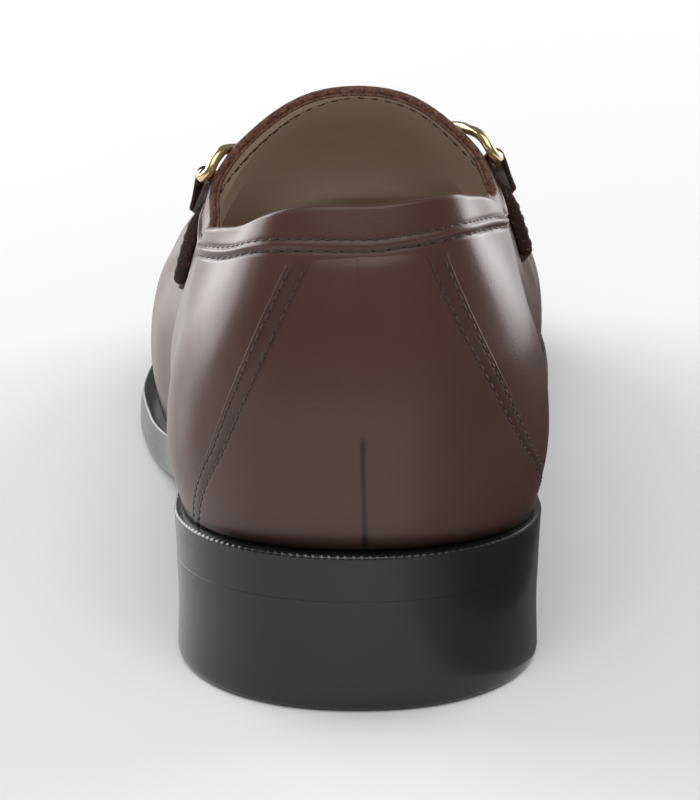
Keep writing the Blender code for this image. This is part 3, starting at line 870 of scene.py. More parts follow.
def sole_underface():
    """Rubber, moulded with a pebbled face: matt black with small round grains for grip."""
    colours = bpy.context.scene.loafer_colours
    material, tree, shader, place = new_material("rubber_moulded_pebbled")
    shader.inputs["Base Color"].default_value = (*colours.sole, 1)
    pebbles = add_node(tree, "ShaderNodeTexVoronoi", {"Scale": per_metre(1.1)}, {"Vector": place})
    relief = add_node(
        tree, "ShaderNodeBump",
        {"Strength": 0.5, "Distance": 0.3 * MM, "invert": True},
        {"Height": pebbles.outputs["Distance"]},
    )
    tree.links.new(relief.outputs[0], shader.inputs["Normal"])
    set_shader(shader, Roughness=0.55, IOR=1.5)
    return material


def gilt_brass():
    """Brass, cast, polished and gilt: bright warm metal with faint polishing waves."""
    colours = bpy.context.scene.loafer_colours
    material, tree, shader, place = new_material("brass_gilt_polished")
    shader.inputs["Base Color"].default_value = (*colours.gilt, 1)
    haze = add_node(tree, "ShaderNodeTexNoise", {"Scale": per_metre(3), "Detail": 4.0}, {"Vector": place})
    gloss = add_node(
        tree, "ShaderNodeMapRange", {"To Min": 0.1, "To Max": 0.24}, {"Value": haze.outputs["Fac"]}
    )
    tree.links.new(gloss.outputs[0], shader.inputs["Roughness"])
    set_shader(shader, Metallic=1.0)
    return material


def material_named(maker):
    """The material that a function makes, made once and shared by all its pieces."""
    key = "made_by_" + maker.__name__
    for material in bpy.data.materials:
        if material.get("maker") == key:
            return material
    material = maker()
    material["maker"] = key
    return material


def upper_stations():
    heel = np.linspace(0, 1, 61)[:-1]
    quarter = side_station(np.linspace(HEEL_CENTRE, THROAT_CURVE_START, 68)[:-1])
    throat = side_station(THROAT_CURVE_START + (THROAT - THROAT_CURVE_START) * late_steps(27))
    vamp = side_station(np.linspace(THROAT, TOE_CENTRE, 68)[1:-1])
    toe = np.linspace(2, 3, 106)
    return np.concatenate((heel, quarter, throat, vamp, toe))


def upper_rows(u, side):
    """The w of each row of the upper's skin at each station, closer together about the raised seam."""
    edge, seam = edge_and_seam(u, side)
    step = pace(u, side, seam)
    start = np.minimum(seam - SEAM_ZONE / step, edge - 2 * SEAM_LEAST / step)[:, None]
    end = np.minimum(seam + SEAM_ZONE / step, edge - SEAM_LEAST / step)[:, None]
    low = start * np.linspace(0, 1, 52)[:-1]
    middle = start + (end - start) * np.linspace(0, 1, 25)
    top = end + (edge[:, None] - end) * np.linspace(0, 1, 22)[1:]
    return np.concatenate((low, middle, top), axis=1), seam, edge


def welt_dressing_and_painted_shade(points):
    """Share of edge dressing crept up from the welt, and of painted shade where the leather meets it."""
    full_height = 0.6
    fade_height = 1.9
    above = points[..., 2] - welt_top(points[..., 1])
    return np.exp(-np.clip(above - full_height, 0, None) / fade_height)


def throat_profile(j, count):
    """Offsets across and out of the upper's edge: a folded collar, and the throat's two cut layers."""
    leather_end, lining_start = 0.72, 0.76
    t = j / count
    folded = (math.cos(math.pi * t), math.sin(math.pi * t))
    leather = 0.34 * math.sin(math.pi * min(t / leather_end, 1.0)) ** 0.5
    lining = 0.2 * math.sin(math.pi * max((t - lining_start) / (1 - lining_start), 0.0)) ** 0.5
    return folded, (1 - 2 * t, max(leather, lining))


def size_property(name, description, default, least, most):
    """A length with its default, smallest and largest value in millimetres."""
    return bpy.props.FloatProperty(
        name=name, description=description, default=default * MM, min=least * MM, max=most * MM,
        unit="LENGTH", precision=5,
    )


class LoaferSizes(bpy.types.PropertyGroup):
    """Sizes of the loafer's details."""

    stitch_pitch: size_property("Stitch pitch", "Length of one stitch and its gap", 2.65, 1.5, 5)
    thread_width: size_property("Thread width", "Thickness of the sewing thread", 0.6, 0.3, 1.2)
    collar_ridge: size_property("Collar ridge", "Height of the piped ridge under the collar", 0.5, 0.1, 1)
    counter_thickness: size_property("Counter thickness", "Thickness of the heel panel", 0.4, 0.3, 1.1)
    wheel_pitch: size_property("Wheel pitch", "Spacing of the wheel marks on the welt", 1.4, 0.8, 3)


def colour_property(name, description, colour):
    return bpy.props.FloatVectorProperty(
        name=name, description=description, default=linear(colour), size=3, min=0, max=1, subtype="COLOR"
    )


class LoaferColours(bpy.types.PropertyGroup):
    """Colours of the loafer's materials."""

    leather: colour_property("Leather", "Calf where the dye is lighter", "#50322B")
    leather_dark: colour_property("Leather, dark", "Calf where the dye is deeper", "#442824")
    # Also the colour of painted shade by the welt, in the sewn grooves, in the back slit and in the needle
    # holes
    dressing_and_painted_shade: colour_property("Edge dressing", "Black dye that creeps up from the welt", "#150C0B")
    lining: colour_property("Lining", "Lining where its nap is lighter", "#C4AE97")
    lining_dark: colour_property("Lining, dark", "Lining where its nap is darker", "#B49F8A")
    edge_ink: colour_property("Edge ink", "Ink on the cut edges", "#40231A")
    edge_fibre: colour_property("Edge fibre", "Fibres that show through the ink", "#8A5E45")
    thread: colour_property("Thread", "Sewing thread", "#39221C")
    sole: colour_property("Sole", "Sole edge where the dye is lighter", "#19181A")
    sole_dark: colour_property("Sole, dark", "Sole edge where the dye is deeper", "#100F11")
    # Painted highlight: the paler colour of the glints painted on the welt's wheel marks
    sole_painted_glint: colour_property("Sole, worn", "Sole edge where the dye is rubbed off", "#7E7B7C")
    gilt: colour_property("Gilt", "Gilt metal", "#EED8A4")
    floor: colour_property("Floor", "Studio floor", "#EDEDED")
    strap_ink: colour_property("Strap ink", "Ink on the straps' cut edges", "#2A1714")
    flag: colour_property("Flag", "Card that dims the light on the inner side", "#7A7674")


class LOAFER_OT_upper(bpy.types.Operator):
    """Makes the upper: a leather skin with its sewn relief, its lining and the edges between"""

    bl_idname = "loafer.upper"
    bl_label = "Upper and lining"

    def execute(self, context):
        mesh = Mesh()
        u = upper_stations()
        throat = int(np.argmin(np.abs(u - side_station(THROAT))))
        lining_rows = 24
        leather = {}
        lining = {}
        for side in (LATERAL, MEDIAL):
            w, seam, edge = upper_rows(u, side)
            sewn = 1 - seam_share(girth_point(u, side)[:, 1])[:, None]
            distance = (w - seam[:, None]) * pace(u, side, seam)[:, None]
            outer = on_leather(u[:, None], side, w)
            outer[:, 0, 2] -= GAP
            inner = on_lining(u[:, None], side, edge[:, None] * np.linspace(0, 1, lining_rows))
            inner[:, 0, 2] -= GAP
            # Edge dressing and painted shade by the welt, and painted shade in the sewn groove under the
            # collar seam
            burnish = welt_dressing_and_painted_shade(outer) + painted_groove_shade(distance) * sewn
            leather[side] = outer
            lining[side] = inner
            rows = w.shape[1]
            first = mesh.add_points(outer, np.clip(burnish, 0, 1))
            mesh.add_faces(grid_quads(len(u), rows, first), 0)
            second = mesh.add_points(inner)
            mesh.add_faces(grid_quads(len(u), lining_rows, second), 1)
            start = np.arange(len(u) - 1)
            low = np.stack((start, start + 1), -1)
            foot = np.concatenate((first + low * rows, second + low[:, ::-1] * lining_rows), -1)
            mesh.add_faces(foot, 1)
        self.add_edge(mesh, leather, lining, throat, u)
        finishes = (material_named(box_calf), material_named(lining_leather), material_named(cut_edge))
        mesh.add_piece("upper_calf_and_lining", finishes, "brown_leather", ["upper"], weld=0.015)
        return {"FINISHED"}

    def add_edge(self, mesh, leather, lining, throat, u):
        """Joins leather and lining along the collar and the throat."""
        def loop(grids, row):
            there = grids[LATERAL][:throat + 1, row]
            back = grids[MEDIAL][throat - 1:0:-1, row]
            return np.concatenate((there, back))

        outer = loop(leather, -1)
        inner = loop(lining, -1)
        behind = loop(leather, -3)
        ahead = np.roll(outer, -1, axis=0) - np.roll(outer, 1, axis=0)
        across = (outer - inner) / 2
        out = unit(np.cross(ahead, across))
        out *= np.sign(np.sum(out * (outer - behind), axis=1, keepdims=True))
        half = np.linalg.norm(across, axis=1, keepdims=True)
        y = girth_point(u[:throat + 1], LATERAL)[:, 1]
        cut = rise_between(np.concatenate((y, y[-2:0:-1])), (FOLD_END, CUT_START))[:, None]
        count = 14
        leather_layers = 10
        rings = []
        for j in range(count + 1):
            (fold_across, fold_out), (cut_across, cut_out) = throat_profile(j, count)
            sideways = fold_across * (1 - cut) + cut_across * cut
            outwards = fold_out * (1 - cut) + cut_out * cut
            rings.append((outer + inner) / 2 + across * sideways + out * half * outwards)
        start = mesh.add_points(np.array(rings))
        quads = grid_quads(count + 1, len(outer), start, wrap=True)
        layer = np.repeat(np.arange(count), len(outer))
        is_cut = np.tile(cut[:, 0] > 0.5, count)
        finish = np.where(is_cut, 2, np.where(layer < leather_layers, 0, 1))
        mesh.add_faces(quads, finish)


def counter_pitch(u, side, share):
    """Millimetres for one unit of u at a share of the counter's height."""
    return stride(u, side, 0.1 + 0.4 * share)


def counter_climb(u, side, share):
    """The w of a share of the counter's height, which ends just under the collar seam, and the seam's."""
    seam = edge_and_seam(u, side)[1]
    return (seam - COUNTER_CLEARANCE / pace(u, side, seam)) * share, seam


def counter_grid():
    """Stations, sides and w of the heel counter's points, closer together at its slanted edges, their
    distances from those edges and the w of the collar seam over them."""
    near = np.concatenate((np.linspace(0, 1.6, 12), np.linspace(1.85, 4.4, 11)))
    share = np.linspace(0, 1, 84)
    halves = []
    for side in (LATERAL, MEDIAL):
        u_edge = counter_edge(side, share)
        pitch = counter_pitch(u_edge, side, share)
        sewn = u_edge[:, None] - near / pitch[:, None]
        rest = sewn[:, -1:] * np.linspace(1, 0, 60)[1:] ** 1.7
        u = np.concatenate((sewn, rest), axis=1)
        distance = (u_edge[:, None] - u) * pitch[:, None]
        halves.append((u, np.full(u.shape, side), distance))
    lateral, medial = halves
    u, side, inside = (np.concatenate((a, b[:, -2::-1]), axis=1) for a, b in zip(lateral, medial))
    w, seam = counter_climb(u, side, share[:, None])
    return u, side, w, inside, seam


def counter_lift(inside, distance):
    """Height of the counter's face over the upper by the distance from its slanted edge and from the
    collar seam: a skived and folded edge, two sewn grooves, and a top that runs in under the collar."""
    thickness = bpy.context.scene.loafer_sizes.counter_thickness / MM
    edge = 0.02 + 0.08 * smooth(inside / 0.8) + (thickness - 0.1) * smooth((inside - 3) / 12)
    for row in COUNTER_ROWS:
        edge = edge - 0.12 * bump(inside - row, 0.5)
    under = smooth((distance + 4.0) / 3.2)
    return edge * (1 - under) - 0.15 * under


def slit_place(w):
    """How far the back slit lies to the inner side, from its top to the welt."""
    top, foot = BACK_SLIT_PLACE
    return top + (foot - top) * (1 - w / BACK_SLIT)


class LOAFER_OT_counter(bpy.types.Operator):
    """Makes the heel counter, a leather panel sewn over the back of the upper"""

    bl_idname = "loafer.counter"
    bl_label = "Heel counter"

    def execute(self, context):
        mesh = Mesh()
        u, side, w, inside, seam = counter_grid()
        distance = (w - seam) * pace(u, side, seam)
        lift = leather_lift(u, side, w) + counter_lift(inside, distance)
        across = u * side * stride(u, side, w) - slit_place(w)
        half_width = 0.3 + 0.25 * bump(w - BACK_SLIT, 0.02)
        slit = smooth((1 - w / BACK_SLIT) * 14) * bump(across, half_width)
        face = lifted(u, side, w, lift - BACK_SLIT_DEPTH * slit)
        face[0, :, 2] -= GAP
        back = lifted(u, side, w, wall_lift(u, side, w) - 0.4)
        # Edge dressing and painted shade by the welt; painted shade in the back slit, in the sewn groove
        # under the collar seam and in the counter's two sewn grooves; a darker band between those grooves;
        # the hidden back takes the full dark colour
        burnish = welt_dressing_and_painted_shade(face) + 1.4 * slit + painted_groove_shade(distance)
        for row in COUNTER_ROWS:
            burnish = burnish + COUNTER_ROW_PAINTED_SHADE * bump(inside - row, 0.5)
        burnish = burnish + 0.22 * bump(inside - sum(COUNTER_ROWS) / 2, 1.6)
        rows, columns = u.shape
        first = mesh.add_points(face, np.clip(burnish, 0, 1))
        second = mesh.add_points(back, 1.0)
        mesh.add_faces(grid_quads(rows, columns, first))
        mesh.add_faces(grid_quads(rows, columns, second))
        mesh.add_faces(rim_quads(rows, columns, second - first))
        mesh.add_piece("heel_counter_calf", [material_named(box_calf)], "brown_leather", ["heel_counter"])
        return {"FINISHED"}


def along_path(travel, path, at):
    """Points of a path at distances along it."""
    return np.stack([np.interp(at, travel, path[:, i]) for i in range(3)], axis=-1)


def add_threads(mesh, centre, normals, radii, finish):
    """Adds short threads, one for each row of points, with a radius at each of their points."""
    sides = 8
    count, places = centre.shape[:2]
    ahead = unit(np.gradient(centre, axis=1))
    across = unit(np.cross(ahead, normals))
    up = np.cross(across, ahead)
    turn = np.linspace(0, 2 * math.pi, sides, endpoint=False)
    ring = np.cos(turn)[:, None] * across[:, :, None] + np.sin(turn)[:, None] * up[:, :, None]
    start = mesh.add_points(centre[:, :, None] + ring * radii[None, :, None, None])
    tube = grid_quads(places, sides, 0, wrap=True)
    caps = np.stack((np.arange(sides), np.arange(sides) + (places - 1) * sides))
    shifts = (start + np.arange(count) * places * sides)[:, None, None]
    mesh.add_faces((tube[None] + shifts).reshape(-1, 4), finish)
    mesh.add_faces((caps[None] + shifts).reshape(-1, sides), finish)


def add_stitches(mesh, path, normals, pitch, width, hole_width=1.3):
    """Sews along a path: threads that dip into the leather at their ends, and needle holes between, dark
    pieces of painted shade, wider than the thread by a share."""
    travel = path_travel(path)
    count = max(int(round(travel[-1] / pitch)), 1)
    step = travel[-1] / count
    places = np.array((0.0, 0.1, 0.3, 0.5, 0.7, 0.9, 1.0))
    swell = np.array((0.5, 0.9, 1.0, 1.04, 1.0, 0.9, 0.5))
    dip = np.array((-1.6, -0.65, -0.25, -0.18, -0.25, -0.65, -1.6))
    hole_dip = np.array((-1.6, -1.0, -0.85, -0.8, -0.85, -1.0, -1.6))
    threads = np.arange(count)[:, None] + 0.5 + (places - 0.5) * THREAD_SHARE
    holes = np.arange(1, count)[:, None] + (places - 0.5) * HOLE_SHARE
    for at, sink, radius, finish in (
        (threads * step, dip, width / 2, 0),
        (holes * step, hole_dip, width * hole_width / 2, 1),
    ):
        up = unit(along_path(travel, normals, at))
        centre = along_path(travel, path, at) + up * (sink * radius)[None, :, None]
        add_threads(mesh, centre, up, swell * radius, finish)


def collar_row(side, offset):
    """Path of a row of stitches beside the collar seam, from the heel's back to the strap."""
    quarter = side_station(np.linspace(HEEL_CENTRE, COLLAR_ROWS_END, 180))
    u = np.concatenate((np.linspace(0, 1, 160)[:-1], quarter))
    seam = edge_and_seam(u, side)[1]
    w = seam + offset / pace(u, side, seam)
    return on_leather(u, side, w), normal(u, side, w)


def counter_row(side, inside):
    """Path of a row of stitches along the counter's slanted edge."""
    share = np.linspace(0.02, 0.94, 160)
    u = counter_edge(side, share)
    u = u - inside / counter_pitch(u, side, share)
    w, seam = counter_climb(u, side, share)
    over = counter_lift(inside, (w - seam) * pace(u, side, seam))
    return on_leather(u, side, w, over), normal(u, side, w)


def throat_row(face):
    """Path of the stitches along the throat's cut edge, on the lining or on the apron's leather."""
    over_seam = 0.03
    halves = []
    for side in (LATERAL, MEDIAL):
        u = side_station(THROAT_ROWS_START + (THROAT - THROAT_ROWS_START) * late_steps(160))
        edge = edge_and_seam(u, side)[0]
        run = np.gradient(u) * stride(u, side, edge)
        climb = np.gradient(edge) * pace(u, side, edge)
        inset = THROAT_ROWS[face] / np.hypot(run, climb)
        w = edge - inset * run / pace(u, side, edge)
        u = u + inset * climb / stride(u, side, edge)
        if face == "lining":
            halves.append((on_lining(u, side, w), -normal(u, side, w)))
        else:
            above = w > edge_and_seam(u, side)[1] + over_seam
            u, w = u[above], w[above]
            halves.append((on_leather(u, side, w), normal(u, side, w)))
    return join_sides(halves)


def apron_threads(side, pitch):
    """Middle lines and normals of the threads that cross the apron's pinched seam."""
    start = side_station(THROAT + STRAP_WIDTH + 9)
    near_tip = 2.94
    fine = np.concatenate((np.linspace(start, 2, 200)[:-1], np.linspace(2, near_tip, 200)))
    travel = path_travel(form(fine, side, edge_and_seam(fine, side)[1]))
    u = np.interp(np.arange(pitch, travel[-1], pitch), travel, fine)[:, None]
    seam = edge_and_seam(u, side)[1]
    across = np.linspace(-2.0, 2.0, 9)
    w = seam + across / pace(u, side, seam)
    u = np.broadcast_to(u, w.shape)
    dip = 0.12 - 0.5 * smooth((np.abs(across) - 1.3) / 0.7)
    return on_leather(u, side, w, dip), normal(u, side, w)


class LOAFER_OT_stitching(bpy.types.Operator):
    """Sews the collar, the counter, the throat and the apron"""

    bl_idname = "loafer.stitching"
    bl_label = "Stitching"

    def execute(self, context):
        sizes = context.scene.loafer_sizes
        pitch = sizes.stitch_pitch / MM
        width = sizes.thread_width / MM
        finishes = [material_named(bonded_thread), material_named(stitch_hole_shade)]
        fine_pitch = pitch * 0.75
        fine_width = width * 0.8
        rows = {name: Mesh() for name in ("collar", "counter", "throat", "apron")}
        for side in (LATERAL, MEDIAL):
            add_stitches(rows["collar"], *collar_row(side, -STITCH_OFFSET), pitch, width, 1.7)
            add_stitches(rows["collar"], *collar_row(side, STITCH_OFFSET), fine_pitch, fine_width)
            for inside in COUNTER_ROWS:
                add_stitches(rows["counter"], *counter_row(side, inside), fine_pitch, fine_width)
            middle, normals = apron_threads(side, pitch * 1.4)
            add_threads(rows["apron"], middle, normals, np.full(middle.shape[1], width * 0.55), 0)
        for face in THROAT_ROWS:
            add_stitches(rows["throat"], *throat_row(face), pitch, width)
        for name, mesh in rows.items():
            mesh.add_piece("stitching_" + name, finishes, "brown_leather")
        return {"FINISHED"}


def turn_line(strap):
    """The w of a strap's turn, set by its height at the strap's rear edge."""
    u = np.array(side_station(THROAT + strap.ahead))
    return climb_to(u, strap.side, np.array(strap.loop))


def loop_place(strap, y, climb, lift):
    """Points by their y on the shoe's side, their climb past the strap's turn and their lift."""
    u = side_station(np.asarray(y, dtype=float))
    turn = turn_line(strap)
    w = turn + climb / pace(u, strap.side, turn)
    return lifted(u, strap.side, w, lift + wall_lift(u, strap.side, w))


def turn_lift():
    return STRAP_GAP + STRAP_THICKNESS / 2 + STRAP_TURN


def bar_climb():
    """How far past the middle of the strap's turn the ring's bar is drawn."""
    return STRAP_TURN - STRAP_THICKNESS / 2 - STRAP_GAP - BAR_RADIUS


def strap_line(length):
    """Middle of the strap in climb and lift, and half its thickness: up the vamp, round the ring's bar
    and back down outside."""
    turn = STRAP_TURN
    centre = turn_lift()
    thin = STRAP_THICKNESS / 2
    tab = TAB_THICKNESS / 2
    rows = []
    for share in np.linspace(1.0, 0.0, STRAP_FLAT_ROWS + 1)[:-1]:
        half = thin + (tab - thin) * smooth((share - 0.12) / 0.35)
        rows.append((-length * share, STRAP_GAP + half, half))
    for angle in np.radians(np.linspace(-90, 90, 25)):
        rows.append((turn * math.cos(angle), centre + turn * math.sin(angle), thin))
    low = STRAP_GAP + TAB_THICKNESS + STRAP_GAP + thin
    for share in np.linspace(0, 1, 17)[1:]:
        fall = smooth(share * 1.15)
        rows.append((-STRAP_RETURN * share, centre + turn + (low - centre - turn) * fall, thin))
    return np.array(rows)


class LOAFER_OT_straps(bpy.types.Operator):
    """Makes the two straps that hold the rings of the bit"""

    bl_idname = "loafer.straps"
    bl_label = "Straps"

    def execute(self, context):
        for strap in STRAPS:
            self.make(context, strap)
        return {"FINISHED"}

    def make(self, context, strap):
        mesh = Mesh()
        middle = np.array(side_station(THROAT + strap.ahead + STRAP_WIDTH / 2))
        foot = form(middle, strap.side, climb_to(middle, strap.side, np.array(strap.foot)))
        turn = form(middle, strap.side, turn_line(strap))
        line = strap_line(np.linalg.norm(turn - foot))
        ahead = unit(np.gradient(line[:, :2], axis=0))
        side_step = np.stack((-ahead[:, 1], ahead[:, 0]), axis=-1)
        ring_y, ring_out = self.section()
        end = np.minimum(np.arange(len(line)), np.arange(len(line))[::-1])
        taper = np.where(end == 0, 0.55, np.where(end == 1, 0.92, 1.0))
        half = line[:, 2:3] * taper[:, None]
        climb = line[:, :1] + side_step[:, :1] * half * ring_out
        lift = line[:, 1:2] + side_step[:, 1:] * half * ring_out
        y = THROAT + strap.ahead + STRAP_WIDTH / 2 + ring_y * STRAP_WIDTH / 2
        points = loop_place(strap, np.broadcast_to(y, climb.shape), climb, lift)
        start = mesh.add_points(points)
        count = len(ring_y)
        quads = grid_quads(len(line), count, start, wrap=True)
        is_edge = np.tile(np.abs(ring_y + np.roll(ring_y, -1)) / 2 > 0.955, len(line) - 1)
        mesh.add_faces(quads, np.where(is_edge, 1, 0))
        last = start + (len(line) - 1) * count
        mesh.add_faces([np.arange(start, start + count), np.arange(last, last + count)], 1)
        finishes = [material_named(box_calf), material_named(strap_edge)]
        node = "strap_" + strap.name
        mesh.add_piece(node + "_calf", finishes, "brown_leather", [node], sharp=50.0)
        stitches = Mesh()
        sizes = context.scene.loafer_sizes
        self.sew(stitches, strap, line, sizes.stitch_pitch / MM, sizes.thread_width / MM)
        threads = [material_named(bonded_thread), material_named(stitch_hole_shade)]
        stitches.add_piece("stitching_" + node, threads, "brown_leather")

    def section(self):
        """Section of the strap with rounded edges: place across, from -1 to 1, and out, from -1 to 1."""
        corner = 0.05
        flat = np.linspace(-1 + corner, 1 - corner, 13)
        bend = np.radians(np.linspace(75, -75, 6))
        right = np.stack((1 - corner + corner * np.cos(bend), np.sin(bend)), -1)
        top = np.stack((flat, np.ones(13)), -1)
        ring = np.concatenate((top, right, top[::-1] * (1, -1), right[::-1] * (-1, 1)))
        return ring[:, 0], ring[:, 1]

    def sew(self, mesh, strap, line, pitch, width):
        """Rows of stitches along both edges of the strap's flat foot, up to its return."""
        flat = line[:STRAP_FLAT_ROWS]
        clear = 1.5
        flat = flat[flat[:, 0] < -STRAP_RETURN - clear][2:]
        climb = flat[:, 0]
        face = flat[:, 1] + flat[:, 2]
        rear = THROAT + strap.ahead
        for y in (rear + STRAP_STITCH_INSET, rear + STRAP_WIDTH - STRAP_STITCH_INSET):
            place = np.full(len(flat), y)
            path = loop_place(strap, place, climb, face)
            over = loop_place(strap, place, climb, face + 1)
            add_stitches(mesh, path, unit(over - path), pitch, width)


def add_wire(mesh, path, ups, radii, facets, closed):
    """Adds a round wire along a path, with its own radius at each point; facets turn its section from
    round at 0 to eight-sided at 1."""
    sides = 24
    if closed:
        ahead = np.roll(path, -1, axis=0) - np.roll(path, 1, axis=0)
    else:
        ahead = np.gradient(path, axis=0)
    across = unit(np.cross(ahead, ups))
    up = unit(np.cross(across, ahead))
    turn = np.linspace(0, 2 * math.pi, sides, endpoint=False)
    eighth = math.pi / 4
    flat = math.cos(eighth / 2) / np.cos(turn % eighth - eighth / 2)
    reach = radii[:, None] * (1 + (flat - 1) * facets[:, None])
    ring = np.cos(turn)[:, None] * across[:, None] + np.sin(turn)[:, None] * up[:, None]
    start = mesh.add_points(path[:, None] + ring * reach[..., None])
    count = len(path)
    mesh.add_faces(grid_quads(count, sides, start, wrap=True))
    first = np.arange(start, start + sides)
    last = first + (count - 1) * sides
    if closed:
        mesh.add_faces(np.stack((last, np.roll(last, -1), np.roll(first, -1), first), -1))
    else:
        mesh.add_faces([first, last])


def ring_stages(strap):
    """Stages of a ring's closed wire, as y, climb, lift, radius and facets: a bar through the strap
    with a bead at each end, and a round arm."""
    rear = THROAT + strap.ahead - GAP - BEAD_LENGTH
    front = THROAT + strap.ahead + STRAP_WIDTH + GAP + BEAD_LENGTH
    lift = turn_lift()
    pulled = bar_climb()
    bead = (
        (0.0, 1.0, 0), (0.2, 1.15, 0), (0.35, 1.05, 0), (0.5, 1.25, 1), (0.75, BEAD_RADIUS, 1),
        (1.1, BEAD_RADIUS, 1), (1.35, 1.25, 1), (1.5, 1.0, 0), (BEAD_LENGTH, BAR_RADIUS, 0),
    )
    stages = [(rear + x, pulled, lift, r, f) for x, r, f in bead]
    stages += [(y, pulled, lift, BAR_RADIUS, 0) for y in np.linspace(rear + 2.4, front - 2.4, 12)]
    stages += [(front - x, pulled, lift, r, f) for x, r, f in bead[::-1]]
    middle = (rear + front) / 2
    half = (front - rear) / 2 + 0.3
    for angle in np.radians(np.linspace(5, 175, 90)):
        climb = pulled + (RING_REACH - pulled) * math.sin(angle)
        height = lift + (strap.lift - lift) * math.sqrt(math.sin(angle))
        y = middle + half * math.cos(angle) + RING_LEAN * math.sin(angle) ** 2
        stages.append((y, climb, height, ARM_RADIUS, 0))
    return np.array(stages)


def station_at(side, w, y):
    """The side stations whose ribs pass a plan y at w."""
    return seek(np.ones(np.shape(w)), lambda u: form(u, side, w)[..., 1] < y)


class LOAFER_OT_bit(bpy.types.Operator):
    """Makes the gilt bit: two rings with beads and the bar that links them over the instep"""

    bl_idname = "loafer.bit"
    bl_label = "Gilt bit"

    def execute(self, context):
        gilt = [material_named(gilt_brass)]
        for strap in STRAPS:
            mesh = Mesh()
            stages = ring_stages(strap)
            path = loop_place(strap, stages[:, 0], stages[:, 1], stages[:, 2])
            ups = unit(loop_place(strap, stages[:, 0], stages[:, 1], stages[:, 2] + 1) - path)
            add_wire(mesh, path, ups, stages[:, 3], stages[:, 4], True)
            node = "bit_ring_" + strap.name
            mesh.add_piece(node + "_gilt", gilt, "gilt_metal", [node], sharp=32.0)
        self.make_bar(gilt)
        return {"FINISHED"}

    def make_bar(self, gilt):
        mesh = Mesh()
        starts = []
        for strap in STRAPS:
            u = np.array(side_station(THROAT + strap.ahead + STRAP_WIDTH / 2 + RING_LEAN))
            w = turn_line(strap)
            step = 0.1
            reach = np.linalg.norm(form(u, strap.side, w + step) - form(u, strap.side, w)) / step
            start = w + (RING_REACH + ARM_RADIUS + GAP) / reach
            starts.append((float(start), float(form(u, strap.side, start)[1])))
        middle = sum(y for _, y in starts) / 2
        halves = []
        for strap, (start, y) in zip(STRAPS, starts):
            share = np.linspace(0, 1, 60)
            w = start + (1 - start) * share
            u = station_at(strap.side, w, y + (middle - y) * share)
            halves.append((lifted(u, strap.side, w, BIT_LIFT), normal(u, strap.side, w)))
        path, ups = join_sides(halves)
        travel = path_travel(path)
        from_end = np.minimum(travel, travel[-1] - travel)
        knob = 1 - rise_between(from_end, (2.5, 6.5))
        radii = BIT_RADIUS + (BIT_KNOB_RADIUS - BIT_RADIUS) * knob
        add_wire(mesh, path, ups, radii, np.zeros(len(path)), False)
        mesh.add_piece("bit_bar_gilt", gilt, "gilt_metal", ["bit_bar"], sharp=40.0)


def even_stations(count, start=0.0, end=3.0):
    """Stations spaced evenly along the sole's rim, and the length that they cover."""
    u = np.linspace(start, end, 4000)
    travel = path_travel(sole_point(u, LATERAL))
    return np.interp(np.linspace(0, travel[-1], count), travel, u), travel[-1]


def rim_walk(count):
    """Stations, sides and places of one walk round the rim, out along the outer side and back along
    the inner one."""
    u, length = even_stations(count)
    stations = np.concatenate((u, u[-2:0:-1]))
    sides = np.concatenate((np.full(len(u), LATERAL), np.full(len(u) - 2, MEDIAL)))
    travel = np.linspace(0, 2 * length, len(stations), endpoint=False)
    return stations, sides, travel, 2 * length


def sole_ring(u, side, inset, height):
    """Ring of points at an inset from the rim and a height above the outsole's underside."""
    p = sole_point(u, side, inset)
    z = sole_underside(p[:, 1]) + height
    return np.concatenate((p, z[:, None]), axis=1)


def tread_share(u, side):
    """0 over the heel block and 1 in front of it."""
    return smooth((sole_point(u, side)[:, 1] - HEEL_BREAST + HEEL_CORNER) / 4)


def upper_ring(u, side, inset, height):
    """Ring of points inside the upper's foot, at a height above the outsole's underside."""
    foot = girth_point(u, side)[:, 1]
    p = girth_point(u, side, tuck_at(foot, u, side) + inset)
    z = sole_underside(p[:, 1]) + height
    return np.concatenate((p, z[:, None]), axis=1)


def add_rings(mesh, rings, finish=0, closed=False, burnish=0.0):
    """Joins rings of points of one length into a wall; closed joins the last ring to the first."""
    if closed:
        rings = list(rings) + [rings[0]]
    start = mesh.add_points(np.array(rings), burnish)
    mesh.add_faces(grid_quads(len(rings), len(rings[0]), start, wrap=True), finish)
    return start


def add_ladder(mesh, start, count, finish=0):
    """Closes a ring of so many points from side to side, with a triangle where its sides meet."""
    for k in range(count // 2):
        rung = (k, k + 1, count - k - 1, (count - k) % count)
        mesh.add_faces([[start + corner for corner in dict.fromkeys(rung)]], finish)


